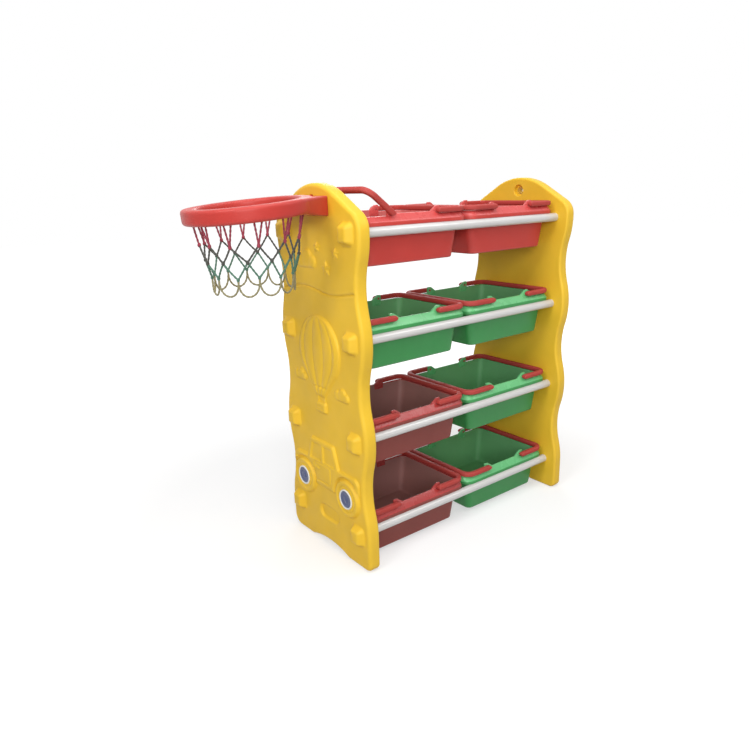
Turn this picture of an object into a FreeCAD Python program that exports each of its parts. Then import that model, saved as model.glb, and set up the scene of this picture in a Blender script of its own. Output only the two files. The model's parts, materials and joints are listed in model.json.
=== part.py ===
import FreeCAD
import Part
import math
import os

from FreeCAD import Vector

# Toy shelf for a nursery: two hollow moulded side panels joined by four tiers of steel tubes,
# eight bins that hang by their rims on the tubes, two bail handles on each bin, and a small
# basketball hoop with a net on the left panel.
# Millimetres. The origin is on the floor below the middle of the overall box.
# +X runs along the shelf from the hoop to the far panel, -Y is the front, +Z is up.

# Tiers and tubes
TIERS = ("bottom", "lower", "upper", "top")
SIDES = ("left", "right")
LOWEST_TUBE_HEIGHT = 86.0
TIER_PITCH = 236.0
TUBE_DIAMETER = 22.0
TUBE_WALL = 1.2
TUBE_SETBACK = 41.5
SOCKET_CLEARANCE = 0.15
PLUG_FLANGE = 2.5
PLUG_LENGTH = 22.0
PLUG_CLEARANCE = 0.1

# Side panels
INNER_SPACING = 663.0
PANEL_THICKNESS = 32.0
PANEL_DEPTH = 342.0
PANEL_WALL = 4.0
EDGE_WAVE = 17.0
SHOULDER_RISE = 6.8
SHOULDER_RADIUS = 45.0
SLOPE_ANGLE = math.radians(30.0)
DOME_RADIUS = 165.0
FRONT_FOOT_RADIUS = 18.0
REAR_FOOT_RADIUS = 30.0
FOOT_ARCH_HALF_WIDTH = 82.0
FOOT_ARCH_RISE = 14.0
OUTER_EDGE_ROUND = 9.0
INNER_EDGE_ROUND = 6.0
SLEEVE_WALL = 3.5

# Bosses on the outer faces, over the tube ends
BOSS_WIDTH = 50.0
BOSS_HEIGHT = 54.0
BOSS_DEPTH = 17.0
BOSS_TAPER = 8.0
BOSS_CORNER = 14.0
BOSS_END_WALL = 4.0

# Raised and sunk relief on the outer faces
EMBED = 1.0
WHEEL_SPREAD = 186.0
WHEEL_HEIGHT = 170.0
WHEEL_RADIUS = 46.0
WHEEL_RELIEF = 9.0
HUB_RIM_RADIUS = 25.0
HUB_DISC_RADIUS = 21.0
HUB_SEAT_DEPTH = 2.0
HUB_RIM_THICKNESS = 3.0
HUB_DISC_THICKNESS = 2.5
HUB_CLEARANCE = 0.1
CAR_RELIEF = 6.0
CAR_HALF_LENGTH = 140.0
CAR_SILL = 166.0
CAR_BELT = 232.0
CAR_ROOF = 288.0
CAR_CORNER = 18.0
CABIN_FRONT = -66.0
CABIN_REAR = 80.0
WINDSCREEN_RUN = 26.0
CABIN_CORNER = 12.0
WHEEL_ARCH_GAP = 7.0
WINDOW_MARGIN = 11.0
WINDOW_DEPTH = 3.0
PILLAR_WIDTH = 10.0
BALLOON_RELIEF = 7.0
BALLOON_RADIUS = 84.0
BALLOON_CENTRE = 520.0
BALLOON_SHOULDER = math.radians(32.0)
NECK_HALF_WIDTH = 17.0
NECK_HEIGHT = 408.0
BASKET_HALF_WIDTH = 20.0
BASKET_BOTTOM = 366.0
BASKET_TOP = 392.0
BASKET_CORNER = 5.0
ROPE_WIDTH = 4.0
ROPE_RELIEF = 3.0
CLOUD_RELIEF = 5.0
CLOUD_PLACES = ((38.0, 728.0, 1.0), (-84.0, 424.0, 0.72), (92.0, 442.0, 0.66))
CLOUD_LOBES = ((-28.0, 0.0, 14.0), (-6.0, 8.0, 20.0), (21.0, 2.0, 16.0))
CLOUD_BASE = 14.0
STAR_RELIEF = 5.0
STAR_PLACES = ((-46.0, 716.0, 17.0), (-12.0, 762.0, 12.0), (-84.0, 752.0, 13.0))
STAR_POINTS = 5
STAR_WAIST = 0.48
STAR_CORNER = 1.5
GROOVE_HEIGHT = 663.0
GROOVE_WAVE = 6.5
GROOVE_HALF_LENGTH = 114.0
GROOVE_PHASE = -3.0
GROOVE_RADIUS = 2.5
SLOT_CENTRE = (-6.0, 94.0)
SLOT_HALF_LENGTH = 42.0
SLOT_HALF_HEIGHT = 18.0
SLOT_DEPTH = 6.0

# Hoop on the left panel
HOOP_HOLE_BELOW_TOP = 35.0
HOOP_HOLE_RADIUS = 10.0
NUT_SEAT_RADIUS = 15.5
NUT_SEAT_DEPTH = 8.0
NUT_CLEARANCE = 0.4
PEG_CLEARANCE = 0.1
HOOP_REACH = 157.7
HOOP_OUTER_RADIUS = 136.4
HOOP_BAND_WIDTH = 30.0
HOOP_BAND_HEIGHT = 32.0
HOOP_BAND_ROUND = 8.0
HOOP_DROOP = 4.9
HOOP_PLANE_BELOW_HOLE = 2.7
BRACKET_HALF_WIDTH = 65.0
BRACKET_BELOW_HOLE = 35.0
BRACKET_ABOVE_HOLE = 8.0
BRACKET_CORNER = 3.0
BRACKET_NECK_INSET = 1.5

# Net under the hoop
NET_COLUMNS = 12
NET_DROP = 152.0
NET_TOP_RADIUS = 116.0
NET_BOTTOM_RADIUS = 81.0
NET_THICKNESS = 3.0
NET_STRAND = 3.6
NET_ROWS = (0.0, 0.30, 0.53, 0.76, 1.0)
NET_SEAT_GAP = 0.2
NET_BRACKET_GAP = 4.0
NET_POINT_CUT = 15.0

# Bins, with heights measured from the tube axis that carries them
BIN_PITCH = 330.0
BIN_LENGTH = 326.0
RIM_OVERHANG = 1.5
RIM_SEAT_GAP = 0.3
RIM_LIP_TOP = 19.5
RIM_LEDGE = 31.5
RIM_TOP = 36.0
RIM_CORNER = 28.0
BIN_WALL = 3.0
RIM_SKIN_DROP = 4.5
BIN_BOTTOM = -76.0
WALL_TOP_INSET_X = 11.0
WALL_TOP_INSET_Y = 12.5
BIN_DRAFT_X = 19.0
BIN_DRAFT_Y = 8.5
BIN_CORNER_TOP = 20.0
BIN_CORNER_BOTTOM = 16.0
RAISED_HALF_LENGTH = 63.0
LUG_HALF_WIDTH = 8.0
LUG_THICKNESS = 5.0
LUG_TOP = 48.5
LUG_BOTTOM = 20.0
LUG_RAMP = 14.0
LUG_CORNER = 3.0

# Bail handles
HANDLE_WIDTH = 14.0
HANDLE_THICKNESS = 13.0
HANDLE_ROUND = 4.5
HANDLE_CORNER = 30.0
HANDLE_SEAT_GAP = 0.3
HANDLE_RIM_INSET = 2.0
LUG_GAP = 0.4
PIN_RADIUS = 3.0
PIN_RUNNING_CLEARANCE = 0.05
PIN_PROUD = 1.0
RAISED_HANDLE = ("top", "left", "left")
RAISED_HANDLE_ANGLE = 37.0

# Sizes that follow from the ones above
TUBE_RADIUS = TUBE_DIAMETER / 2
TIER_HEIGHTS = [LOWEST_TUBE_HEIGHT + TIER_PITCH * i for i in range(len(TIERS))]
TOP_TUBE_HEIGHT = TIER_HEIGHTS[-1]
PANEL_HALF_DEPTH = PANEL_DEPTH / 2
TUBE_HALF_SPACING = PANEL_HALF_DEPTH - TUBE_SETBACK
PANEL_OUTER_X = INNER_SPACING / 2 + PANEL_THICKNESS
SOCKET_RADIUS = TUBE_RADIUS + SOCKET_CLEARANCE
SOCKET_END = BOSS_DEPTH - BOSS_END_WALL
TUBE_HALF_LENGTH = PANEL_OUTER_X + SOCKET_END - PLUG_FLANGE
BIN_HALF_LENGTH = BIN_LENGTH / 2
BIN_HALF_DEPTH = TUBE_HALF_SPACING + RIM_OVERHANG
BIN_DEPTH = 2 * BIN_HALF_DEPTH
RIM_BOTTOM = TUBE_RADIUS + RIM_SEAT_GAP
LEG_CENTRE_Y = BIN_HALF_DEPTH - WALL_TOP_INSET_Y + LUG_GAP + HANDLE_WIDTH / 2
LUG_OUTER_Y = LEG_CENTRE_Y - HANDLE_WIDTH / 2 - LUG_GAP
GRIP_CENTRE_X = BIN_HALF_LENGTH - HANDLE_RIM_INSET - HANDLE_WIDTH / 2
PIVOT_X = RAISED_HALF_LENGTH + LUG_HALF_WIDTH
PIVOT_HEIGHT = RIM_LEDGE + HANDLE_SEAT_GAP + HANDLE_THICKNESS / 2
SHOULDER_HEIGHT = TOP_TUBE_HEIGHT + SHOULDER_RISE
SLOPE_RUN = PANEL_HALF_DEPTH - SHOULDER_RADIUS + (SHOULDER_RADIUS - DOME_RADIUS) * math.sin(SLOPE_ANGLE)
SLOPE_RISE = SLOPE_RUN * math.tan(SLOPE_ANGLE) + (SHOULDER_RADIUS - DOME_RADIUS) * math.cos(SLOPE_ANGLE)
DOME_CENTRE_HEIGHT = SHOULDER_HEIGHT + SLOPE_RISE
PANEL_HEIGHT = DOME_CENTRE_HEIGHT + DOME_RADIUS
HOOP_HOLE_HEIGHT = PANEL_HEIGHT - HOOP_HOLE_BELOW_TOP
HOOP_PLANE_HEIGHT = HOOP_HOLE_HEIGHT - HOOP_PLANE_BELOW_HOLE
BRACKET_BOTTOM = HOOP_HOLE_HEIGHT - BRACKET_BELOW_HOLE
BRACKET_TOP = HOOP_HOLE_HEIGHT + BRACKET_ABOVE_HOLE
NECK_CIRCLE = HOOP_OUTER_RADIUS - BRACKET_NECK_INSET
NECK_TURN = math.atan2(BRACKET_HALF_WIDTH, HOOP_REACH)
NECK_TURN += math.acos(NECK_CIRCLE / math.hypot(BRACKET_HALF_WIDTH, HOOP_REACH))
BRACKET_NECK_HALF_WIDTH = NECK_CIRCLE * math.sin(NECK_TURN)
BRACKET_REACH = HOOP_REACH - NECK_CIRCLE * math.cos(NECK_TURN)
DROOP_ANGLE = math.radians(HOOP_DROOP)
HOOP_TIP = (HOOP_REACH + HOOP_OUTER_RADIUS - HOOP_BAND_ROUND) * math.cos(DROOP_ANGLE) + HOOP_BAND_ROUND
HOOP_TIP_LEAN = (HOOP_BAND_HEIGHT / 2 - HOOP_BAND_ROUND) * math.sin(DROOP_ANGLE)
HOOP_LEFT_X = -PANEL_OUTER_X - HOOP_TIP - HOOP_TIP_LEAN
SHIFT_X = -(HOOP_LEFT_X + PANEL_OUTER_X + BOSS_DEPTH) / 2


def line(start, end):
    return Part.LineSegment(start, end).toShape()


def arc(start, middle, end):
    return Part.Arc(start, middle, end).toShape()


def wire(edges):
    return Part.Wire(Part.__sortEdges__(edges))


def cylinder_x(radius, x0, x1, y, z):
    return Part.makeCylinder(radius, x1 - x0, Vector(x0, y, z), Vector(1, 0, 0))


def box(low, high):
    size = [b - a for a, b in zip(low, high)]
    return Part.makeBox(size[0], size[1], size[2], Vector(*low))


def rounded_rectangle(half_x, half_y, radius, z):
    """A closed wire round the Z axis at height z."""
    flat_x = half_x - radius
    flat_y = half_y - radius
    diagonal = radius * math.sqrt(0.5)
    edges = []
    for sx, sy in ((1, 1), (-1, 1), (-1, -1), (1, -1)):
        on_x = Vector(sx * half_x, sy * flat_y, z)
        on_y = Vector(sx * flat_x, sy * half_y, z)
        middle = Vector(sx * (flat_x + diagonal), sy * (flat_y + diagonal), z)
        first, last = (on_x, on_y) if sx * sy > 0 else (on_y, on_x)
        edges.append(arc(first, middle, last))
    corners = [(edge.Vertexes[0].Point, edge.Vertexes[-1].Point) for edge in edges]
    loop = []
    for index, edge in enumerate(edges):
        loop.append(edge)
        loop.append(line(corners[index][1], corners[(index + 1) % 4][0]))
    return Part.Wire(loop)


def prism(half_x, half_y, radius, z0, z1):
    face = Part.Face(rounded_rectangle(half_x, half_y, radius, z0))
    return face.extrude(Vector(0, 0, z1 - z0))


def frustum(low, high):
    """A solid between two rounded rectangles, each given as half_x, half_y, radius, z."""
    return Part.makeLoft([rounded_rectangle(*low), rounded_rectangle(*high)], True, True)


def rounded_polygon(points, radius):
    """A closed wire in the Y-Z plane through the points, with every corner rounded."""
    corners = [Vector(0, y, z) for y, z in points]
    count = len(corners)
    edges = []
    ends = []
    for index, corner in enumerate(corners):
        to_last = (corners[index - 1] - corner).normalize()
        to_next = (corners[(index + 1) % count] - corner).normalize()
        half_angle = to_last.getAngle(to_next) / 2
        reach = radius / math.tan(half_angle)
        bisector = (to_last + to_next).normalize()
        middle = corner + bisector * (radius / math.sin(half_angle) - radius)
        start = corner + to_last * reach
        end = corner + to_next * reach
        edges.append(arc(start, middle, end))
        ends.append((start, end))
    for index in range(count):
        edges.append(line(ends[index][1], ends[(index + 1) % count][0]))
    return wire(edges)


def raised(outline, height):
    """A relief of the given height on the outer face, which is at x = 0 and faces -X."""
    relief = Part.Face(outline).extrude(Vector(-height - EMBED, 0, 0))
    relief.translate(Vector(EMBED, 0, 0))
    return relief


def export(node, shape):
    placed = shape.copy()
    placed.translate(Vector(SHIFT_X, 0, 0))
    placed.exportStep("parts/" + node + ".step")


def on_circle(centre, radius, angle):
    """A point in the Y-Z plane, with the angle taken from +Y towards +Z."""
    y, z = centre
    return Vector(0, y + radius * math.cos(angle), z + radius * math.sin(angle))


def circle_arc(centre, radius, start, end):
    return arc(*(on_circle(centre, radius, a) for a in (start, (start + end) / 2, end)))


def panel_side(inset, foot_radius):
    """Edges of the rear side, from the foot's flat to the start of the dome, moved in by inset."""
    quarter = TIER_PITCH / 4
    half_wave = EDGE_WAVE / 2
    radius = (quarter ** 2 + half_wave ** 2) / EDGE_WAVE
    swing = math.asin(quarter / radius)
    edge_y = PANEL_HALF_DEPTH - inset
    shoulder = (PANEL_HALF_DEPTH - SHOULDER_RADIUS, SHOULDER_HEIGHT)
    foot = (PANEL_HALF_DEPTH - foot_radius, foot_radius)
    edges = [
        circle_arc(foot, foot_radius - inset, -math.pi / 2, 0),
        line(Vector(0, edge_y, foot_radius), Vector(0, edge_y, LOWEST_TUBE_HEIGHT)),
        line(Vector(0, edge_y, TOP_TUBE_HEIGHT), Vector(0, edge_y, SHOULDER_HEIGHT)),
        circle_arc(shoulder, SHOULDER_RADIUS - inset, 0, math.pi / 2 - SLOPE_ANGLE),
    ]
    for index, height in enumerate(TIER_HEIGHTS):
        bulge = (PANEL_HALF_DEPTH - radius, height)
        start = 0 if index == 0 else -swing
        end = 0 if height == TOP_TUBE_HEIGHT else swing
        edges.append(circle_arc(bulge, radius - inset, start, end))
        if height < TOP_TUBE_HEIGHT:
            hollow = (PANEL_HALF_DEPTH - EDGE_WAVE + radius, height + TIER_PITCH / 2)
            edges.append(circle_arc(hollow, radius + inset, math.pi - swing, math.pi + swing))
    return edges


def panel_outline(inset):
    """The panel's outline in the Y-Z plane at x = 0, moved in by inset."""
    slope_normal = math.pi / 2 - SLOPE_ANGLE
    dome = (0, DOME_CENTRE_HEIGHT)
    arch_radius = (FOOT_ARCH_HALF_WIDTH ** 2 + FOOT_ARCH_RISE ** 2) / (2 * FOOT_ARCH_RISE)
    arch = (0, FOOT_ARCH_RISE - arch_radius)
    arch_end = math.asin((inset - arch[1]) / (arch_radius + inset))
    foot_inner = on_circle(arch, arch_radius + inset, arch_end)
    shoulder = (PANEL_HALF_DEPTH - SHOULDER_RADIUS, SHOULDER_HEIGHT)
    edges = [
        circle_arc(dome, DOME_RADIUS - inset, slope_normal, math.pi - slope_normal),
        circle_arc(arch, arch_radius + inset, arch_end, math.pi - arch_end),
    ]
    for mirror, foot_radius in ((1, REAR_FOOT_RADIUS), (-1, FRONT_FOOT_RADIUS)):
        side = panel_side(inset, foot_radius)
        side.append(line(foot_inner, Vector(0, PANEL_HALF_DEPTH - foot_radius, inset)))
        slope_low = on_circle(shoulder, SHOULDER_RADIUS - inset, slope_normal)
        slope_high = on_circle(dome, DOME_RADIUS - inset, slope_normal)
        side.append(line(slope_low, slope_high))
        if mirror < 0:
            side = [edge.mirror(Vector(0, 0, 0), Vector(0, 1, 0)) for edge in side]
        edges += side
    return wire(edges)


def edges_at_x(shape, x):
    return [e for e in shape.Edges if all(abs(v.X - x) < 1e-6 for v in e.Vertexes)]


def tube_places():
    return [(sy * TUBE_HALF_SPACING, height) for height in TIER_HEIGHTS for sy in (-1, 1)]


def boss(y, z):
    """A tapered bump over a tube end, standing out of the outer face."""
    base = (BOSS_HEIGHT / 2, BOSS_WIDTH / 2, BOSS_CORNER, -EMBED)
    tip_corner = BOSS_CORNER - BOSS_TAPER / 2
    tip = (BOSS_HEIGHT / 2 - BOSS_TAPER, BOSS_WIDTH / 2 - BOSS_TAPER, tip_corner, BOSS_DEPTH)
    bump = frustum(base, tip)
    bump.rotate(Vector(0, 0, 0), Vector(0, 1, 0), -90)
    bump.translate(Vector(0, y, z))
    return bump


def wheel_places():
    return [(sy * WHEEL_SPREAD / 2, WHEEL_HEIGHT) for sy in (-1, 1)]


def car_relief():
    """A toy car in side view: body, cabin with two sunk windows, and wheels with hub seats."""
    lower = [(-CAR_HALF_LENGTH, CAR_SILL), (CAR_HALF_LENGTH, CAR_SILL),
             (CAR_HALF_LENGTH, CAR_BELT), (-CAR_HALF_LENGTH, CAR_BELT)]
    cabin_foot = CAR_BELT - CABIN_CORNER * 2
    cabin = [(CABIN_FRONT, cabin_foot), (CABIN_REAR, cabin_foot),
             (CABIN_REAR - WINDSCREEN_RUN, CAR_ROOF), (CABIN_FRONT + WINDSCREEN_RUN, CAR_ROOF)]
    car = raised(rounded_polygon(lower, CAR_CORNER), CAR_RELIEF)
    car = car.fuse(raised(rounded_polygon(cabin, CABIN_CORNER), CAR_RELIEF))
    for y, z in wheel_places():
        car = car.cut(cylinder_x(WHEEL_RADIUS + WHEEL_ARCH_GAP, -CAR_RELIEF - EMBED, EMBED, y, z))
        car = car.fuse(cylinder_x(WHEEL_RADIUS, -WHEEL_RELIEF, EMBED, y, z))
        seat = cylinder_x(HUB_RIM_RADIUS + HUB_CLEARANCE, -WHEEL_RELIEF, -WHEEL_RELIEF + HUB_SEAT_DEPTH, y, z)
        car = car.cut(seat)
    pillar = (CABIN_FRONT + CABIN_REAR) / 2
    glass_low = CAR_BELT
    glass_high = CAR_ROOF - WINDOW_MARGIN
    lean = WINDSCREEN_RUN * (glass_high - glass_low) / (CAR_ROOF - cabin_foot)
    for end, sign in ((CABIN_FRONT, 1), (CABIN_REAR, -1)):
        foot = end + sign * (WINDOW_MARGIN + WINDSCREEN_RUN - lean)
        post = pillar - sign * PILLAR_WIDTH / 2
        window = [(foot, glass_low), (post, glass_low), (post, glass_high), (foot + sign * lean, glass_high)]
        pane = Part.Face(rounded_polygon(window, BASKET_CORNER)).extrude(Vector(WINDOW_DEPTH, 0, 0))
        pane.translate(Vector(-CAR_RELIEF, 0, 0))
        car = car.cut(pane)
    return car


def balloon_relief():
    """A hot-air balloon with its basket and two ropes."""
    centre = (0, BALLOON_CENTRE)
    shoulder = on_circle(centre, BALLOON_RADIUS, -BALLOON_SHOULDER)
    skirt = [(-shoulder.y, shoulder.z), (shoulder.y, shoulder.z),
             (NECK_HALF_WIDTH, NECK_HEIGHT), (-NECK_HALF_WIDTH, NECK_HEIGHT)]
    skirt_wire = Part.makePolygon([Vector(0, y, z) for y, z in skirt + skirt[:1]])
    balloon = cylinder_x(BALLOON_RADIUS, -BALLOON_RELIEF, EMBED, 0, BALLOON_CENTRE)
    balloon = balloon.fuse(raised(skirt_wire, BALLOON_RELIEF))
    basket = [(-BASKET_HALF_WIDTH, BASKET_BOTTOM), (BASKET_HALF_WIDTH, BASKET_BOTTOM),
              (BASKET_HALF_WIDTH, BASKET_TOP), (-BASKET_HALF_WIDTH, BASKET_TOP)]
    pieces = [balloon, raised(rounded_polygon(basket, BASKET_CORNER), BALLOON_RELIEF)]
    for sign in (-1, 1):
        outer = sign * (NECK_HALF_WIDTH - ROPE_WIDTH / 2)
        low = (-ROPE_RELIEF, outer - ROPE_WIDTH / 2, BASKET_TOP - EMBED)
        high = (EMBED, outer + ROPE_WIDTH / 2, NECK_HEIGHT + EMBED)
        pieces.append(box(low, high))
    return pieces


def cloud_relief(y, z, scale):
    lobes = [cylinder_x(r * scale, -CLOUD_RELIEF, EMBED, y + dy * scale, z + dz * scale)
             for dy, dz, r in CLOUD_LOBES]
    first = CLOUD_LOBES[0]
    last = CLOUD_LOBES[-1]
    low = (-CLOUD_RELIEF, y + first[0] * scale, z - CLOUD_BASE * scale)
    high = (EMBED, y + last[0] * scale, z)
    return lobes[0].multiFuse(lobes[1:] + [box(low, high)])


def star_relief(y, z, radius):
    points = []
    for index in range(2 * STAR_POINTS):
        reach = radius if index % 2 == 0 else radius * STAR_WAIST
        angle = math.pi / 2 + index * math.pi / STAR_POINTS
        points.append((y + reach * math.cos(angle), z + reach * math.sin(angle)))
    return raised(rounded_polygon(points, STAR_CORNER), STAR_RELIEF)


def wavy_groove():
    """A round-bottomed groove that waves across the outer face."""
    half_span = GROOVE_HALF_LENGTH / 2
    radius = (half_span ** 2 + GROOVE_WAVE ** 2) / (2 * GROOVE_WAVE)
    swing = math.asin(half_span / radius)
    spans = math.ceil(PANEL_DEPTH / GROOVE_HALF_LENGTH / 2) + 1
    edges = []
    for index in range(-spans, spans):
        middle = GROOVE_PHASE + (index + 0.5) * GROOVE_HALF_LENGTH
        crest = 1 if index % 2 == 0 else -1
        centre = (middle, GROOVE_HEIGHT + crest * (GROOVE_WAVE - radius))
        top = crest * math.pi / 2
        edges.append(circle_arc(centre, radius, top + crest * swing, top - crest * swing))
    path = Part.Wire(edges)
    start = path.Vertexes[0].Point
    tangent = edges[0].tangentAt(edges[0].FirstParameter)
    section = Part.Wire([Part.makeCircle(GROOVE_RADIUS, start, tangent)])
    return path.makePipeShell([section], True, False)


def slot_box(grow, x0, x1):
    y, z = SLOT_CENTRE
    half_y = SLOT_HALF_LENGTH + grow
    half_z = SLOT_HALF_HEIGHT + grow
    corner = half_z * 0.98
    signs = ((-1, -1), (1, -1), (1, 1), (-1, 1))
    points = [(y + sy * half_y, z + sz * half_z) for sy, sz in signs]
    block = Part.Face(rounded_polygon(points, corner)).extrude(Vector(x1 - x0, 0, 0))
    block.translate(Vector(x0, 0, 0))
    return block


def left_panel():
    """The left panel with its outer face at x = 0, facing -X."""
    panel = Part.Face(panel_outline(0)).extrude(Vector(PANEL_THICKNESS, 0, 0))
    panel = panel.makeFillet(OUTER_EDGE_ROUND, edges_at_x(panel, 0))
    panel = panel.makeFillet(INNER_EDGE_ROUND, edges_at_x(panel, PANEL_THICKNESS))

    void = Part.Face(panel_outline(PANEL_WALL)).extrude(Vector(PANEL_THICKNESS - 2 * PANEL_WALL, 0, 0))
    void.translate(Vector(PANEL_WALL, 0, 0))
    for y, z in tube_places():
        void = void.cut(cylinder_x(SOCKET_RADIUS + SLEEVE_WALL, 0, PANEL_THICKNESS, y, z))
    void = void.cut(cylinder_x(NUT_SEAT_RADIUS + SLEEVE_WALL, 0, PANEL_THICKNESS, 0, HOOP_HOLE_HEIGHT))
    void = void.cut(slot_box(PANEL_WALL, 0, SLOT_DEPTH + PANEL_WALL))
    panel = panel.cut(void)

    reliefs = [boss(y, z) for y, z in tube_places()]
    reliefs.append(car_relief())
    reliefs += balloon_relief()
    reliefs += [cloud_relief(*place) for place in CLOUD_PLACES]
    reliefs += [star_relief(*place) for place in STAR_PLACES]
    panel = panel.multiFuse(reliefs)

    panel = panel.cut(wavy_groove())
    panel = panel.cut(slot_box(0, -EMBED, SLOT_DEPTH))
    for y, z in tube_places():
        panel = panel.cut(cylinder_x(SOCKET_RADIUS, -SOCKET_END, PANEL_THICKNESS, y, z))
    nut_seat = PANEL_THICKNESS - NUT_SEAT_DEPTH
    panel = panel.cut(cylinder_x(HOOP_HOLE_RADIUS, -EMBED, nut_seat, 0, HOOP_HOLE_HEIGHT))
    panel = panel.cut(cylinder_x(NUT_SEAT_RADIUS, nut_seat, PANEL_THICKNESS, 0, HOOP_HOLE_HEIGHT))
    return panel


def hub_rims():
    rims = []
    for y, z in wheel_places():
        base = -WHEEL_RELIEF + HUB_SEAT_DEPTH
        front = base - HUB_RIM_THICKNESS
        rim = cylinder_x(HUB_RIM_RADIUS, front, base, y, z)
        rims.append(rim.cut(cylinder_x(HUB_DISC_RADIUS + HUB_CLEARANCE, front, base, y, z)))
    return Part.makeCompound(rims)


def hub_discs():
    base = -WHEEL_RELIEF + HUB_SEAT_DEPTH
    discs = [cylinder_x(HUB_DISC_RADIUS, base - HUB_DISC_THICKNESS, base, y, z) for y, z in wheel_places()]
    return Part.makeCompound(discs)


def tube(y, z):
    outer = cylinder_x(TUBE_RADIUS, -TUBE_HALF_LENGTH, TUBE_HALF_LENGTH, y, z)
    return outer.cut(cylinder_x(TUBE_RADIUS - TUBE_WALL, -TUBE_HALF_LENGTH, TUBE_HALF_LENGTH, y, z))


def end_plugs():
    """Plugs in the left ends of all the tubes, each with a flange against the boss's end wall."""
    plugs = []
    for y, z in tube_places():
        flange = cylinder_x(TUBE_RADIUS, -TUBE_HALF_LENGTH - PLUG_FLANGE, -TUBE_HALF_LENGTH, y, z)
        shank_radius = TUBE_RADIUS - TUBE_WALL - PLUG_CLEARANCE
        shank = cylinder_x(shank_radius, -TUBE_HALF_LENGTH, -TUBE_HALF_LENGTH + PLUG_LENGTH, y, z)
        plugs.append(flange.fuse(shank))
    return Part.makeCompound(plugs)


def to_left_panel(shape):
    shape.translate(Vector(-PANEL_OUTER_X, 0, 0))
    return shape


def to_right(shape):
    return shape.mirror(Vector(0, 0, 0), Vector(1, 0, 0))


def droop(shape):
    """Place a shape made round the hoop's own axis, which then leans by the droop."""
    shape.translate(Vector(-PANEL_OUTER_X - HOOP_REACH, 0, HOOP_PLANE_HEIGHT))
    shape.rotate(Vector(-PANEL_OUTER_X, 0, HOOP_PLANE_HEIGHT), Vector(0, 1, 0), -HOOP_DROOP)
    return shape


def hoop_ring():
    """Ring, a bracket whose sides run on from the ring's wall, and threaded peg in one moulding."""
    inner_radius = HOOP_OUTER_RADIUS - HOOP_BAND_WIDTH
    middle_radius = HOOP_OUTER_RADIUS - HOOP_BAND_WIDTH / 2
    section = rounded_rectangle(HOOP_BAND_WIDTH / 2, HOOP_BAND_HEIGHT / 2, HOOP_BAND_ROUND, 0)
    section.rotate(Vector(0, 0, 0), Vector(1, 0, 0), 90)
    section.translate(Vector(middle_radius, 0, 0))
    ring = Part.Face(section).revolve(Vector(0, 0, 0), Vector(0, 0, 1), 360)
    hole = Part.makeCylinder(inner_radius + HOOP_BAND_ROUND, BRACKET_TOP, Vector(0, 0, -BRACKET_TOP / 2))
    net_room_radius = NET_TOP_RADIUS + NET_THICKNESS / 2 + NET_BRACKET_GAP
    net_room_low = Vector(0, 0, -BRACKET_TOP - HOOP_BAND_HEIGHT / 2)
    net_room = Part.makeCylinder(net_room_radius, BRACKET_TOP, net_room_low)
    ring = droop(ring)
    hole = droop(hole)
    net_room = droop(net_room)

    neck_middle = HOOP_PLANE_HEIGHT - BRACKET_REACH * math.tan(DROOP_ANGLE)
    sections = []
    for half_width, low, high, x, corner in (
        (BRACKET_HALF_WIDTH, BRACKET_BOTTOM, BRACKET_TOP, -PANEL_OUTER_X, BRACKET_CORNER),
        (BRACKET_NECK_HALF_WIDTH, neck_middle - HOOP_BAND_HEIGHT / 2, neck_middle + HOOP_BAND_HEIGHT / 2,
         -PANEL_OUTER_X - BRACKET_REACH, HOOP_BAND_ROUND),
    ):
        corners = [(-half_width, low), (half_width, low), (half_width, high), (-half_width, high)]
        outline = rounded_polygon(corners, corner)
        outline.translate(Vector(x, 0, 0))
        sections.append(outline)
    bracket = Part.makeLoft(sections, True, True).cut(hole).cut(net_room)
    peg_end = -PANEL_OUTER_X + PANEL_THICKNESS - NUT_CLEARANCE
    peg = cylinder_x(HOOP_HOLE_RADIUS - PEG_CLEARANCE, -PANEL_OUTER_X - EMBED, peg_end, 0, HOOP_HOLE_HEIGHT)
    return ring.fuse(bracket).fuse(peg)


def hoop_nut():
    inner_face = -PANEL_OUTER_X + PANEL_THICKNESS
    start = inner_face - NUT_SEAT_DEPTH
    end = inner_face - NUT_CLEARANCE
    nut = cylinder_x(NUT_SEAT_RADIUS - NUT_CLEARANCE, start, end, 0, HOOP_HOLE_HEIGHT)
    return nut.cut(cylinder_x(HOOP_HOLE_RADIUS, start, end, 0, HOOP_HOLE_HEIGHT))


def net_point(column, row):
    """Angle, radius and height of a knot, from the middle of the net's top.

    The net hangs straight down, and its top follows the leaning ring.
    """
    share = NET_ROWS[row]
    angle = 2 * math.pi * column / NET_COLUMNS
    radius = NET_TOP_RADIUS + (NET_BOTTOM_RADIUS - NET_TOP_RADIUS) * share
    lean = (1 - share) * radius * math.cos(angle) * math.tan(DROOP_ANGLE)
    return angle, radius, lean - NET_DROP * share


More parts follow.
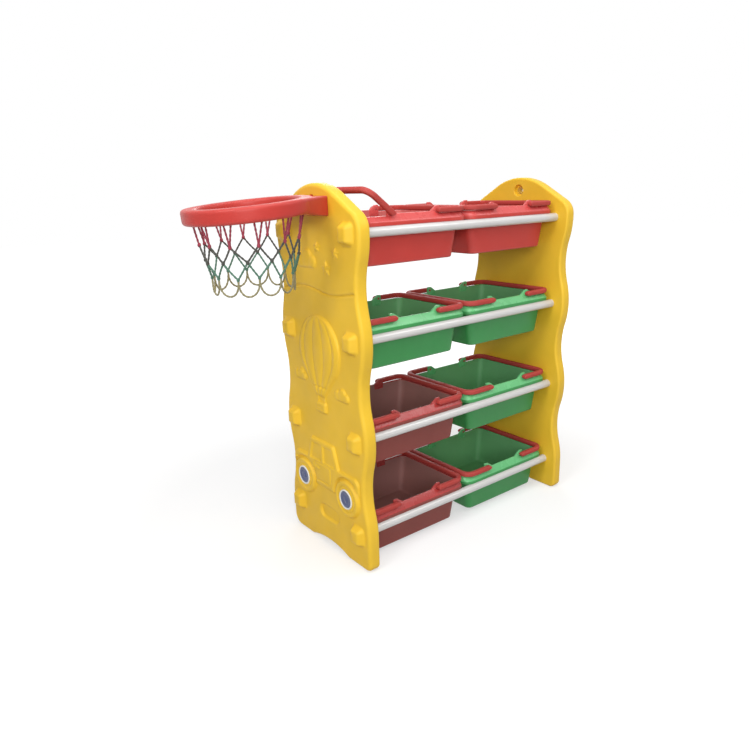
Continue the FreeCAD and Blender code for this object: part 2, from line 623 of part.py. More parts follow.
def net_gap(corners, middle_column, open_below=0):
    """A radial prism through the net between the strands that join the given knots.

    A gap in the last row goes on down by open_below, so that the net ends in points.
    """
    facing = 2 * math.pi * middle_column / NET_COLUMNS
    flat = []
    for column, row in corners:
        angle, radius, height = net_point(column, row)
        flat.append((radius * math.sin(angle - facing), height))
    centre_t = sum(t for t, _ in flat) / len(flat)
    centre_z = sum(z for _, z in flat) / len(flat)
    reach = min(math.hypot(t - centre_t, z - centre_z) for t, z in flat)
    keep = 1 - NET_STRAND / reach
    inside = NET_BOTTOM_RADIUS / 2
    points = []
    for t, z in flat:
        points.append(Vector(inside, centre_t + (t - centre_t) * keep, centre_z + (z - centre_z) * keep))
    if open_below:
        left, right, apex = points
        down = Vector(0, 0, -open_below)
        points = [left, left + down, right + down, right, apex]
    face = Part.Face(Part.makePolygon(points + points[:1]))
    gap = face.extrude(Vector(NET_TOP_RADIUS + NET_THICKNESS, 0, 0))
    gap.rotate(Vector(0, 0, 0), Vector(0, 0, 1), math.degrees(facing))
    return gap


def hoop_net():
    """A tapered net of crossing strands: one thin wall with its gaps cut through and its top cut aslant."""
    half = NET_THICKNESS / 2
    rise = 2 * NET_TOP_RADIUS * math.tan(DROOP_ANGLE)
    high_radius = NET_TOP_RADIUS + (NET_TOP_RADIUS - NET_BOTTOM_RADIUS) * rise / NET_DROP
    profile = [Vector(high_radius - half, 0, rise), Vector(high_radius + half, 0, rise),
               Vector(NET_BOTTOM_RADIUS + half, 0, -NET_DROP), Vector(NET_BOTTOM_RADIUS - half, 0, -NET_DROP)]
    wall = Part.Face(Part.makePolygon(profile + profile[:1])).revolve(Vector(0, 0, 0), Vector(0, 0, 1), 360)
    gaps = []
    last = len(NET_ROWS) - 1
    for column in range(NET_COLUMNS):
        for row in range(1, last):
            c = column + 0.5 * (row % 2) + 0.5
            gaps.append(net_gap([(c, row - 1), (c + 0.5, row), (c, row + 1), (c - 0.5, row)], c))
        top = column + 0.5
        gaps.append(net_gap([(top - 0.5, 0), (top + 0.5, 0), (top, 1)], top))
        low = column + 0.5 * (last % 2)
        gaps.append(net_gap([(low, last), (low + 1, last), (low + 0.5, last - 1)], low + 0.5, NET_POINT_CUT))
    above = Part.makeCylinder(2 * NET_TOP_RADIUS, NET_DROP)
    above.rotate(Vector(0, 0, 0), Vector(0, 1, 0), -HOOP_DROOP)
    net = wall.cut(above).cut(Part.makeCompound(gaps))
    top_middle = droop(Part.Vertex(Vector(0, 0, -HOOP_BAND_HEIGHT / 2 - NET_SEAT_GAP)))
    net.translate(top_middle.Point)
    return net


def wall_at(height):
    """Half length, half depth and corner radius of a bin's outside at a height."""
    share = (height - BIN_BOTTOM) / (RIM_TOP - BIN_BOTTOM)
    half_x = BIN_HALF_LENGTH - WALL_TOP_INSET_X - BIN_DRAFT_X * (1 - share)
    half_y = BIN_HALF_DEPTH - WALL_TOP_INSET_Y - BIN_DRAFT_Y * (1 - share)
    radius = BIN_CORNER_BOTTOM + (BIN_CORNER_TOP - BIN_CORNER_BOTTOM) * share
    return half_x, half_y, radius


def bin_body(inset, low, high):
    sections = []
    for height in (low, high):
        half_x, half_y, radius = wall_at(height)
        sections.append((half_x - inset, half_y - inset, radius - inset, height))
    return frustum(*sections)


def rim_block(drop, inset):
    """The sloping rim as a block: the true outside, or its hollow when lowered and taken in."""
    half_x, half_y, radius = wall_at(RIM_TOP)
    foot = (BIN_HALF_LENGTH, BIN_HALF_DEPTH, RIM_CORNER)
    slope = frustum(foot + (RIM_LIP_TOP - drop,), (half_x, half_y, radius, RIM_TOP - drop))
    lip = prism(*foot, RIM_BOTTOM - drop, RIM_LIP_TOP - drop)
    block = slope.fuse(lip)
    if inset:
        keep = (BIN_HALF_LENGTH - inset, BIN_HALF_DEPTH - inset, RIM_CORNER - inset)
        block = block.common(prism(*keep, RIM_BOTTOM - drop, RIM_TOP))
    return block


def below(height):
    return box((-BIN_LENGTH, -BIN_DEPTH, BIN_BOTTOM - EMBED), (BIN_LENGTH, BIN_DEPTH, height))


def across(half_length):
    return box((-half_length, -BIN_DEPTH, BIN_BOTTOM - EMBED), (half_length, BIN_DEPTH, RIM_TOP))


def lug(sx, sy):
    """An ear on the rim for a handle's pin, with a ramp down to the rim's raised middle."""
    outer_x = PIVOT_X + LUG_HALF_WIDTH
    ramp_x = PIVOT_X - LUG_HALF_WIDTH - LUG_RAMP
    corners = [(outer_x, LUG_BOTTOM), (outer_x, LUG_TOP), (PIVOT_X - LUG_HALF_WIDTH / 2, LUG_TOP),
               (ramp_x, RIM_TOP), (ramp_x, LUG_BOTTOM)]
    outline = rounded_polygon([(sx * x, z) for x, z in corners], LUG_CORNER)
    plate = Part.Face(outline).extrude(Vector(LUG_THICKNESS, 0, 0))
    plate.rotate(Vector(0, 0, 0), Vector(0, 0, 1), -90)
    plate.translate(Vector(0, LUG_OUTER_Y if sy > 0 else LUG_THICKNESS - LUG_OUTER_Y, 0))
    return plate


def storage_bin():
    """A tapered bin with a hollow rolled rim, raised between the lugs at front and rear."""
    solid_body = bin_body(0, BIN_BOTTOM, RIM_TOP)
    rim = rim_block(0, 0)
    hollow = rim_block(RIM_SKIN_DROP, BIN_WALL).cut(solid_body)
    middle = across(RAISED_HALF_LENGTH)
    inner_middle = across(RAISED_HALF_LENGTH - BIN_WALL)
    low_rim = rim.common(below(RIM_LEDGE)).cut(hollow.common(below(RIM_LEDGE - BIN_WALL)))
    tall_rim = rim.common(middle).cut(hollow.common(inner_middle))
    body = solid_body.common(below(RIM_LEDGE)).fuse(solid_body.common(middle))
    shell = body.fuse(low_rim.cut(middle)).fuse(tall_rim)
    shell = shell.cut(bin_body(BIN_WALL, BIN_BOTTOM + BIN_WALL, RIM_TOP + EMBED))
    for sx in (-1, 1):
        for sy in (-1, 1):
            shell = shell.fuse(lug(sx, sy))
        pin_hole = Part.makeCylinder(PIN_RADIUS + PIN_RUNNING_CLEARANCE, 2 * LUG_OUTER_Y,
                                     Vector(sx * PIVOT_X, -LUG_OUTER_Y, PIVOT_HEIGHT), Vector(0, 1, 0))
        shell = shell.cut(pin_hole)
    return shell.removeSplitter()


def right_handle():
    """A U-shaped bail that lies on the right half of the rim, with a pin stub on each leg."""
    half = HANDLE_WIDTH / 2
    low = PIVOT_HEIGHT - HANDLE_THICKNESS / 2
    high = PIVOT_HEIGHT + HANDLE_THICKNESS / 2
    outer = prism(GRIP_CENTRE_X + half, LEG_CENTRE_Y + half, HANDLE_CORNER, low, high)
    inner = prism(GRIP_CENTRE_X - half, LEG_CENTRE_Y - half, HANDLE_CORNER - HANDLE_WIDTH, low, high)
    loop = outer.cut(inner)
    rims = [e for e in loop.Edges if abs(e.Vertexes[0].Z - e.Vertexes[-1].Z) < 1e-6]
    loop = loop.makeFillet(HANDLE_ROUND, rims)
    half_plane = box((PIVOT_X, -BIN_DEPTH, low), (BIN_LENGTH, BIN_DEPTH, high))
    bail = loop.common(half_plane)
    for sy in (-1, 1):
        start = sy * LEG_CENTRE_Y - half
        eye = Part.makeCylinder(HANDLE_THICKNESS / 2, HANDLE_WIDTH, Vector(PIVOT_X, start, PIVOT_HEIGHT),
                                Vector(0, 1, 0))
        eye = eye.makeFillet(HANDLE_ROUND, [e for e in eye.Edges if len(e.Vertexes) == 1])
        stub_length = LUG_GAP + LUG_THICKNESS + PIN_PROUD + half
        stub_start = LEG_CENTRE_Y - stub_length if sy > 0 else -LEG_CENTRE_Y
        stub = Part.makeCylinder(PIN_RADIUS, stub_length, Vector(PIVOT_X, stub_start, PIVOT_HEIGHT),
                                 Vector(0, 1, 0))
        bail = bail.fuse(eye).fuse(stub)
    return bail.removeSplitter()


def place_bin(shape, side, tier):
    sign = -1 if side == "left" else 1
    placed = shape.copy()
    placed.translate(Vector(sign * BIN_PITCH / 2, 0, TIER_HEIGHTS[TIERS.index(tier)]))
    return placed


def main():
    os.makedirs("parts", exist_ok=True)
    panel = to_left_panel(left_panel())
    rims = to_left_panel(hub_rims())
    discs = to_left_panel(hub_discs())
    plugs = end_plugs()
    sided = {"panel": panel, "hub_rims": rims, "hub_discs": discs, "tube_end_plugs": plugs}
    for name, shape in sided.items():
        export("left_" + name, shape)
        export("right_" + name, to_right(shape))
    for tier, height in zip(TIERS, TIER_HEIGHTS):
        export("front_tube_" + tier, tube(-TUBE_HALF_SPACING, height))
        export("rear_tube_" + tier, tube(TUBE_HALF_SPACING, height))
    export("hoop_ring", hoop_ring())
    export("hoop_nut", hoop_nut())
    export("hoop_net", hoop_net())

    bin_shape = storage_bin()
    handles = {"right": right_handle()}
    handles["left"] = to_right(handles["right"])
    lifted = handles["left"].copy()
    lifted.rotate(Vector(-PIVOT_X, 0, PIVOT_HEIGHT), Vector(0, 1, 0), RAISED_HANDLE_ANGLE)
    for tier in TIERS:
        for side in SIDES:
            name = tier + "_" + side + "_bin"
            export(name, place_bin(bin_shape, side, tier))
            for end in SIDES:
                shape = lifted if (tier, side, end) == RAISED_HANDLE else handles[end]
                export(name + "_" + end + "_handle", place_bin(shape, side, tier))

    print("overall height", round(PANEL_HEIGHT, 3), "hoop hole height", round(HOOP_HOLE_HEIGHT, 3))
    print("frame shift", round(SHIFT_X, 3), "hoop left", round(HOOP_LEFT_X + SHIFT_X, 3))
    print("panel volume litres", round(panel.Volume / 1e6, 3), "valid", panel.isValid())
    print("bin volume", round(bin_shape.Volume / 1e3, 1), "valid", bin_shape.isValid(), len(bin_shape.Solids))
    print("handle pivot", PIVOT_X, round(PIVOT_HEIGHT, 3), "leg", round(LEG_CENTRE_Y, 3))


main()
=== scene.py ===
import json
from math import acos, asin, atan2, cos, hypot, pi, radians, sin, tan
import random

import bmesh
import bpy
import numpy as np
from mathutils import Matrix, Vector


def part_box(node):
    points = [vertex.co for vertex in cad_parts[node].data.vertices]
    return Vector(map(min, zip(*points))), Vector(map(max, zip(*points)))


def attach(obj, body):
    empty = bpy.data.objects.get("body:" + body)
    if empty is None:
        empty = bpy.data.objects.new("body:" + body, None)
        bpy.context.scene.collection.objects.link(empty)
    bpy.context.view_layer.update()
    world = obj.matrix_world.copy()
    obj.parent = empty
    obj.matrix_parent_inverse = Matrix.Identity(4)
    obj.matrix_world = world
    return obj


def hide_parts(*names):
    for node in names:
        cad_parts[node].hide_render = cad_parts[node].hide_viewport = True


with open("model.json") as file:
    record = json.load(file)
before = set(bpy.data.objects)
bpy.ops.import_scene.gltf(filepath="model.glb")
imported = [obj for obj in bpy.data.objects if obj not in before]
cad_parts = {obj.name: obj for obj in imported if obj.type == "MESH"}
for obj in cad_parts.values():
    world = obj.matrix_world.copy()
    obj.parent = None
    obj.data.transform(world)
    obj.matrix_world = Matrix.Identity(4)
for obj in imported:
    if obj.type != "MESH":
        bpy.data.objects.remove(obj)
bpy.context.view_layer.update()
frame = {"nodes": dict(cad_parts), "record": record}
scene = bpy.context.scene

# Sizes are in millimetres, as in the part's source, and become metres when a mesh is made.
MM = 0.001
TIERS = ("bottom", "lower", "upper", "top")
SIDES = ("left", "right")
LOWEST_TUBE = 86.0
TIER_PITCH = 236.0
TIER_HEIGHTS = [LOWEST_TUBE + TIER_PITCH * i for i in range(len(TIERS))]
TUBE_RADIUS = 11.0
TUBE_WALL = 1.2
TUBE_HALF_SPACING = 129.5
TUBE_HALF_LENGTH = 374.0
ROUND_SEGMENTS = 64
SHARP_ANGLE = 40.0

# Side panels
PANEL_OUTER_X = 363.5
PANEL_THICKNESS = 32.0
PANEL_HALF_DEPTH = 171.0
EDGE_WAVE = 17.0
SHOULDER_HEIGHT = TIER_HEIGHTS[-1] + 6.8
SHOULDER_RADIUS = 45.0
SLOPE_ANGLE = radians(30.0)
DOME_RADIUS = 165.0
PANEL_HEIGHT = 899.982
FRONT_FOOT_RADIUS = 18.0
REAR_FOOT_RADIUS = 30.0
ARCH_HALF_WIDTH = 82.0
ARCH_RISE = 14.0
OUTER_ROUND = 9.0
INNER_ROUND = 6.0
BACK_MARGIN = 1.5
EDGE_STEPS = 6
PANEL_CELL = 2.0
OUTLINE_STEP = 1.0
PANEL_SHARP_ANGLE = 65.0
FLAT_AREA = 1000.0 * MM * MM
FLAT_TURN = radians(10.0)

# Relief on the outer faces. Places are (y, z), and boxes are a place, half sizes and a corner radius.
BOSS_HALF_WIDTH = 25.0
BOSS_HALF_HEIGHT = 27.0
BOSS_DEPTH = 17.0
BOSS_CORNER = 14.0
BOSS_FLANK = 14.0
BOSS_CROWN = 5.0
WHEEL_PLACES = ((-93.0, 170.0), (93.0, 170.0))
WHEEL_RADIUS = 46.0
WHEEL_RELIEF = 9.0
WHEEL_ARCH_GAP = 7.0
TYRE_GROOVE_RADIUS = 33.0
HUB_RIM_RADIUS = 25.0
HUB_BORE_RADIUS = 21.1
HUB_DISC_RADIUS = 21.0
HUB_SEAT_DEPTH = 2.0
HUB_SEAT_GAP = 0.8
CAR_RELIEF = 6.0
CAR_CROWN = 1.0
CAR_CROWN_WIDTH = 14.0
CAR_BODY = ((0.0, 199.0), (140.0, 33.0), 18.0)
CAR_CABIN = [(-62.0, 208.0), (76.0, 208.0), (52.0, 282.0), (-38.0, 282.0)]
CAR_CABIN_ROUND = 6.0
CAR_WINDOWS = ([(-44.0, 235.0), (-1.0, 235.0), (-1.0, 274.0), (-31.0, 274.0)],
               [(15.0, 235.0), (58.0, 235.0), (45.0, 274.0), (15.0, 274.0)])
CAR_WINDOW_ROUND = 3.0
CAR_DOOR = ((7.0, 204.0), (36.0, 24.0), 8.0)
CAR_DOOR_HANDLE = ((30.0, 213.0), (9.0, 3.5), 3.0)
CAR_LAMPS = (((-127.0, 205.0), 8.0), ((128.0, 208.0), 7.0))
BALLOON_RELIEF = 5.5
BALLOON_RADIUS = 84.0
BALLOON_CENTRE = 520.0
BALLOON_GORES = 6
GORE_PUFF = 3.2
GORE_MARGIN = 12.0
SKIRT_TOP = (71.2, 475.5)
SKIRT_NECK = (17.0, 408.0)
BAND_HEIGHT = 432.0
BAND_CURVE = 0.0006
BASKET = ((0.0, 379.0), (20.0, 13.0), 5.0)
BASKET_RELIEF = 7.0
BASKET_EDGE = 2.0
WEAVE_FOOT = 366.0
WEAVE_PITCH = 6.5
WEAVE_HEIGHT = 0.8
ROPE_PLACE = (15.0, 400.0)
ROPE_HALF = (2.2, 10.0)
CLOUD_RELIEF = 4.0
CLOUD_PUFF = 1.6
CLOUD_PLACES = ((38.0, 728.0, 1.0), (-84.0, 424.0, 0.72), (92.0, 442.0, 0.66))
CLOUD_BASE = ((-3.5, -7.0), (24.5, 7.0), 1.0)
CLOUD_LOBES = ((-28.0, 0.0, 14.0), (-6.0, 8.0, 20.0), (21.0, 2.0, 16.0))
STAR_RELIEF = 3.5
STAR_CREST = 1.8
STAR_CREST_SHARE = 0.8
STAR_PLACES = ((-46.0, 716.0, 17.0), (-12.0, 762.0, 12.0), (-84.0, 752.0, 13.0))
STAR_WAIST = 0.48
GROOVE_HEIGHT = 663.0
GROOVE_WAVE = 6.5
GROOVE_HALF_LENGTH = 114.0
GROOVE_PHASE = -3.0
GROOVE_END = PANEL_HALF_DEPTH - EDGE_WAVE - OUTER_ROUND + 10.0
GROOVE_FADE = 12.0
SLOT_CENTRE = (-6.0, 94.0)
SLOT_HALF = (42.0, 18.0)
SLOT_CORNER = SLOT_HALF[1] * 0.98
SLOT_DEPTH = 6.0

# Hoop, peg, nut and net
HOLE_HEIGHT = 864.982
HOLE_RADIUS = 10.0
PEG_CLEARANCE = 0.1
PEG_CHAMFER = 1.2
PEG_ROOT = 6.0
NUT_SEAT_RADIUS = 15.5
NUT_SEAT_DEPTH = 8.0
NUT_RADIUS = 15.1
NUT_CLEARANCE = 0.4
NUT_SEGMENTS = 48
HOOP_REACH = 157.7
HOOP_RADIUS = 136.4
HOOP_BAND_WIDTH = 30.0
HOOP_BAND_HEIGHT = 32.0
HOOP_BAND_ROUND = 8.0
HOOP_DROOP = radians(4.9)
HOOP_HEIGHT = 862.282
HOOP_SEGMENTS = 144
HOOP_VOXEL = 1.6
HOOP_SOFTENING = (0.5, 8)
HOOP_SHARP_ANGLE = 60.0
BRACKET_HALF_WIDTH = 65.0
BRACKET_BOTTOM = 829.982
BRACKET_TOP = 872.982
BRACKET_CORNER = 3.0
NECK_INSET = 1.0
OPENING_REACH = 90.0
NET_ROOM = 5.5
NET_COLUMNS = 12
NET_DROP = 152.0
NET_TOP_RADIUS = 116.0
NET_BOTTOM_RADIUS = 81.0
NET_ROWS = (0.30, 0.53, 0.76)
NET_TURN = -0.14
NET_SEED = 7
NET_JITTER = 2.2
NET_SHARP_ANGLE = 70.0
PAIR_SPREAD = 0.13
HOOK_RISE = 1.5
HANGING_BOW = 1.2
MESH_BOW = 1.8
BOW_SAG = 0.6
LOOP_FULLNESS = 0.75
CORD_RADIUS = 2.0
CORD_SEGMENTS = 8
CORD_STEP = 2.0
CORD_TWIST = 0.7
CORD_OVAL = 0.16
ASKEW = (0.3, 0.9, 0.31)
KNOT_RADIUS = 4.0
KNOT_SEGMENTS = 10
KNOT_LUMP = 0.1
KNOT_LATITUDES = (-80.0, -50.0, -18.0, 18.0, 50.0, 80.0)

# Bins, with heights from the tube axis. A wall is half a length, half a depth and a corner radius.
BIN_HALF_PITCH = 165.0
BIN_HALF_LENGTH = 163.0
BIN_HALF_DEPTH = 131.0
RIM_BOTTOM = 11.3
RIM_LIP_TOP = 19.5
RIM_LEDGE = 31.5
RIM_TOP = 36.0
RIM_CORNER = 28.0
RIM_SKIN_DROP = 4.5
BIN_WALL = 3.0
BIN_BOTTOM = -76.0
BASE_MARGIN = 12.0
FLOOR_MARGIN = 14.0
INSIDE_LOOPS = 7
RIM_LOOPS = 19
# Material slots of a bin: the paler inside colour is painted light, the paler rim colour a painted highlight.
LIT_INSIDE_PAINT = 1
HIGHLIGHT_RIM_PAINT = 2
WALL_TOP = (152.0, 118.5, 20.0)
WALL_FOOT = (133.0, 110.0, 16.0)
LEAST_CORNER = 2.0
CORNER_STEPS = 9
RAISED_HALF_LENGTH = 63.0
RAISED_RAMP = 3.0
RIM_PLACES = (20.0, 40.0, 55.0, 60.0, 61.5, 62.5, 63.5, 64.5, 66.0, 72.0, 90.0, 105.0)
LUG_HALF_WIDTH = 8.0
LUG_THICKNESS = 5.0
LUG_TOP = 48.5
LUG_BOTTOM = 20.0
LUG_RAMP = 14.0
LUG_CORNER = 3.0
LUG_OUTER_Y = 118.5
LUG_CHAMFER = 0.6
LUG_EDGE = 1.0
LUG_SEGMENTS = 48

# Bail handles
HANDLE_WIDTH = 14.0
HANDLE_THICKNESS = 13.0
HANDLE_ROUND = 4.5
HANDLE_BEND = 23.0
BEND_STEPS = 10
EYE_TURNS = (84.0, 72.0, 58.0, 43.0, 28.0, 14.0)
LEG_PLACES = (0.0, 10.0, 30.0)
PIVOT_X = 71.0
PIVOT_HEIGHT = 38.3
LEG_CENTRE_Y = 125.9
GRIP_CENTRE_X = 154.0
PIN_RADIUS = 3.0
PIN_CLEARANCE = 0.05
PIN_CHAMFER = 0.6
PIN_ROOT = 2.0
PIN_END_Y = 112.5
RAISED_HANDLE = ("top", "left", "left")
RAISED_ANGLE = radians(37.0)

tube_low, tube_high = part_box("front_tube_top")
MIDDLE_X = (tube_low.x + tube_high.x) / 2 / MM
LEFT_FACE_X = MIDDLE_X - PANEL_OUTER_X


class Shape:
    """Vertices in millimetres and faces, gathered from closed shells."""

    def __init__(self, points=(), faces=()):
        self.blocks, self.faces, self.paints = [], [], []
        self.count = 0
        self.add(points, faces)

    def add(self, points, faces, paint=0):
        block = np.asarray(points, float).reshape(-1, 3)
        self.faces += [tuple(self.count + i for i in face) for face in faces]
        self.paints += [paint] * len(faces)
        self.blocks.append(block)
        self.count += len(block)


def new_object(name, data):
    obj = bpy.data.objects.new(name, data)
    scene.collection.objects.link(obj)
    return obj


def make_object(name, shape, materials, place=None, sharp_angle=SHARP_ANGLE):
    """A smooth-shaded mesh object whose faces all point outwards."""
    points = np.concatenate(shape.blocks)
    if place:
        points = place(points)
    mesh = bpy.data.meshes.new(name)
    mesh.from_pydata((points * MM).tolist(), [], shape.faces)
    for material in materials:
        mesh.materials.append(material)
    mesh.polygons.foreach_set("material_index", shape.paints)
    work = bmesh.new()
    work.from_mesh(mesh)
    bmesh.ops.recalc_face_normals(work, faces=work.faces)
    work.to_mesh(mesh)
    work.free()
    finish_mesh(mesh, sharp_angle)
    return new_object(name, mesh)


def finish_mesh(mesh, sharp_angle):
    mesh.polygons.foreach_set("use_smooth", [True] * len(mesh.polygons))
    mesh.set_sharp_from_angle(angle=radians(sharp_angle))
    mesh.update()


def add_boolean(obj, other, operation):
    modifier = obj.modifiers.new("boolean", "BOOLEAN")
    modifier.object = other
    modifier.operation = operation
    modifier.solver = "EXACT"


def bake_modifiers(obj, sharp_angle=SHARP_ANGLE):
    depsgraph = bpy.context.evaluated_depsgraph_get()
    mesh = bpy.data.meshes.new_from_object(obj.evaluated_get(depsgraph))
    old = obj.data
    obj.modifiers.clear()
    obj.data = mesh
    bpy.data.meshes.remove(old)
    finish_mesh(mesh, sharp_angle)


def crisp_flats(mesh):
    """Sharp edges round large flat faces, so that their shading stays flat up to a hole."""
    work = bmesh.new()
    work.from_mesh(mesh)
    for edge in work.edges:
        large = max(face.calc_area() for face in edge.link_faces) > FLAT_AREA
        if large and edge.calc_face_angle(0.0) > FLAT_TURN:
            edge.smooth = False
    work.to_mesh(mesh)
    work.free()


def repaint(obj, slot):
    obj.data.materials.clear()
    obj.data.materials.append(MATERIALS[slot][0])


def place_piece(obj, node, body="frame"):
    """Let an object ride on a body in place of a CAD node, which it hides."""
    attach(obj, body)
    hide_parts(node)


def add_piece(name, node, shape, place=None, body="frame", sharp_angle=SHARP_ANGLE):
    place_piece(make_object(name, shape, MATERIALS[SLOTS[node]], place, sharp_angle), node, body)


def xyz(x, y, z):
    """Points from their coordinates, each of which is a row of values or one value for all."""
    return np.stack(np.broadcast_arrays(x, y, z), -1)


def loft(loops, ring=False, caps=True):
    """Quads between loops of one length. A ring joins the last loop to the first, caps close the ends."""
    loops = np.asarray(loops, float)
    rows, columns = loops.shape[:2]
    faces = []
    for row in range(rows if ring else rows - 1):
        a = row * columns
        b = (row + 1) % rows * columns
        for i in range(columns):
            j = (i + 1) % columns
            faces.append((a + i, a + j, b + j, b + i))
    if caps and not ring:
        faces.append(tuple(range(columns)))
        faces.append(tuple((rows - 1) * columns + i for i in range(columns)))
    return loops.reshape(-1, 3), faces


def full_turn(segments):
    return np.arange(segments) * 2 * pi / segments


def lathe(profile, centre, segments, ring=False):
    """Turn a profile of (x, radius) points round a line along X through centre (y, z)."""
    angles = full_turn(segments)
    c, s = np.cos(angles), np.sin(angles)
    return loft([xyz(x, centre[0] + radius * c, centre[1] + radius * s) for x, radius in profile], ring)


def round_corners(points, setbacks, steps=4):
    """Replace corners of a polyline by short curves that start and end a setback away.

    Points may carry extra values, which follow along. A point with no setback stays.
    """
    points = [np.asarray(p, float) for p in points]
    out = []
    for index, point in enumerate(points):
        setback = setbacks[index]
        if setback == 0:
            out.append(point)
            continue
        before = points[index - 1] - point
        after = points[(index + 1) % len(points)] - point
        start = point + before * min(0.49, setback / np.linalg.norm(before))
        end = point + after * min(0.49, setback / np.linalg.norm(after))
        for t in np.linspace(0, 1, steps + 1):
            out.append((1 - t) ** 2 * start + 2 * t * (1 - t) * point + t ** 2 * end)
    return np.array(out)


def arc_points(centre, radius, start, end):
    count = max(3, int(abs(end - start) * radius / OUTLINE_STEP))
    angles = np.linspace(start, end, count + 1)
    return np.stack([centre[0] + radius * np.cos(angles), centre[1] + radius * np.sin(angles)], 1)


def resample(path, cells):
    """Points spaced evenly along a path."""
    steps = np.linalg.norm(np.diff(path, axis=0), axis=1)
    keep = np.concatenate([[True], steps > 1e-9])
    path = path[keep]
    along = np.concatenate([[0], np.cumsum(np.linalg.norm(np.diff(path, axis=0), axis=1))])
    places = np.linspace(0, along[-1], cells + 1)
    return np.stack([np.interp(places, along, path[:, axis]) for axis in range(path.shape[1])], 1)


def panel_paths():
    """The panel's outline in (y, z) as four paths: bottom, rear, top and front."""
    quarter = TIER_PITCH / 4
    radius = (quarter ** 2 + (EDGE_WAVE / 2) ** 2) / EDGE_WAVE
    swing = asin(quarter / radius)
    shoulder = (PANEL_HALF_DEPTH - SHOULDER_RADIUS, SHOULDER_HEIGHT)
    slope_normal = pi / 2 - SLOPE_ANGLE
    dome = (0.0, PANEL_HEIGHT - DOME_RADIUS)
    arch_radius = (ARCH_HALF_WIDTH ** 2 + ARCH_RISE ** 2) / (2 * ARCH_RISE)
    arch_centre = (0.0, ARCH_RISE - arch_radius)
    arch_end = asin(-arch_centre[1] / arch_radius)

    def foot_run(foot_radius, start, end):
        foot = (PANEL_HALF_DEPTH - foot_radius, foot_radius)
        return arc_points(foot, foot_radius, start, end)

    def side(foot_radius):
        runs = [foot_run(foot_radius, -pi / 4, 0)]
        for index, height in enumerate(TIER_HEIGHTS):
            top_tier = index == len(TIER_HEIGHTS) - 1
            bulge = (PANEL_HALF_DEPTH - radius, height)
            runs.append(arc_points(bulge, radius, 0 if index == 0 else -swing, 0 if top_tier else swing))
            if not top_tier:
                hollow = (PANEL_HALF_DEPTH - EDGE_WAVE + radius, height + TIER_PITCH / 2)
                runs.append(arc_points(hollow, radius, pi + swing, pi - swing))
        runs.append(arc_points(shoulder, SHOULDER_RADIUS, 0, slope_normal / 2))
        return np.concatenate(runs)

    mirror = np.array([-1.0, 1.0])
    front_foot, rear_foot = [foot_run(r, -pi / 2, -pi / 4) for r in (FRONT_FOOT_RADIUS, REAR_FOOT_RADIUS)]
    arch = arc_points(arch_centre, arch_radius, pi - arch_end, arch_end)
    bottom = np.concatenate([front_foot[::-1] * mirror, arch, rear_foot])
    half_top = np.concatenate([arc_points(shoulder, SHOULDER_RADIUS, slope_normal / 2, slope_normal),
                               arc_points(dome, DOME_RADIUS, slope_normal, pi / 2)])
    top = np.concatenate([half_top * mirror, half_top[::-1]])
    return bottom, side(REAR_FOOT_RADIUS), top, side(FRONT_FOOT_RADIUS) * mirror


def flank(distance, height, width):
    """A relief that rises over a soft flank of the given width at its outline."""
    t = np.clip(0.5 - distance / width, 0, 1)
    return height * t * t * (3 - 2 * t)


def groove(distance, depth, width):
    """How deep a soft groove is at a distance from its middle line."""
    return depth * np.exp(-(distance / width) ** 2)


def circle_distance(y, z, centre, radius):
    return np.hypot(y - centre[0], z - centre[1]) - radius


def box_distance(y, z, centre, half, corner):
    qy = np.abs(y - centre[0]) - half[0] + corner
    qz = np.abs(z - centre[1]) - half[1] + corner
    outside = np.hypot(np.maximum(qy, 0), np.maximum(qz, 0))
    return outside + np.minimum(np.maximum(qy, qz), 0) - corner


def polygon_distance(y, z, corners):
    """Signed distance to a polygon, negative inside."""
    best = np.full(y.shape, np.inf)
    inside = np.zeros(y.shape, bool)
    for (y0, z0), (y1, z1) in zip(corners, corners[1:] + corners[:1]):
        ey, ez = y1 - y0, z1 - z0
        t = np.clip(((y - y0) * ey + (z - z0) * ez) / (ey * ey + ez * ez), 0, 1)
        best = np.minimum(best, np.hypot(y - y0 - t * ey, z - z0 - t * ez))
        if ez:
            crosses = (z0 > z) != (z1 > z)
            inside ^= crosses & (y < y0 + (z - z0) * ey / ez)
    return np.where(inside, -best, best)


def car_height(y, z):
    """A toy car in side view, with sunk windows, a door line, lamps and two fat wheels."""
    car = np.minimum(box_distance(y, z, *CAR_BODY), polygon_distance(y, z, CAR_CABIN) - CAR_CABIN_ROUND)
    for place in WHEEL_PLACES:
        car = np.maximum(car, -circle_distance(y, z, place, WHEEL_RADIUS + WHEEL_ARCH_GAP))
    height = flank(car, CAR_RELIEF, width=4.0)
    height += flank(car + CAR_CROWN_WIDTH / 2, CAR_CROWN, CAR_CROWN_WIDTH)
    for window in CAR_WINDOWS:
        height -= flank(polygon_distance(y, z, window) - CAR_WINDOW_ROUND, height=3.6, width=3.6)
    height -= groove(box_distance(y, z, *CAR_DOOR), depth=2.0, width=1.8)
    height += flank(box_distance(y, z, *CAR_DOOR_HANDLE), height=2.4, width=3.0)
    for lamp, radius in CAR_LAMPS:
        height += flank(circle_distance(y, z, lamp, radius), height=2.2, width=4.0)
    for place in WHEEL_PLACES:
        away = circle_distance(y, z, place, 0.0)
        tyre = flank(away - WHEEL_RADIUS, WHEEL_RELIEF, width=7.0)
        tyre -= groove(away - TYRE_GROOVE_RADIUS, depth=2.2, width=2.0)
        tyre -= flank(away - HUB_RIM_RADIUS - HUB_SEAT_GAP, HUB_SEAT_DEPTH, width=2.2)
        height = np.maximum(height, tyre)
    return height


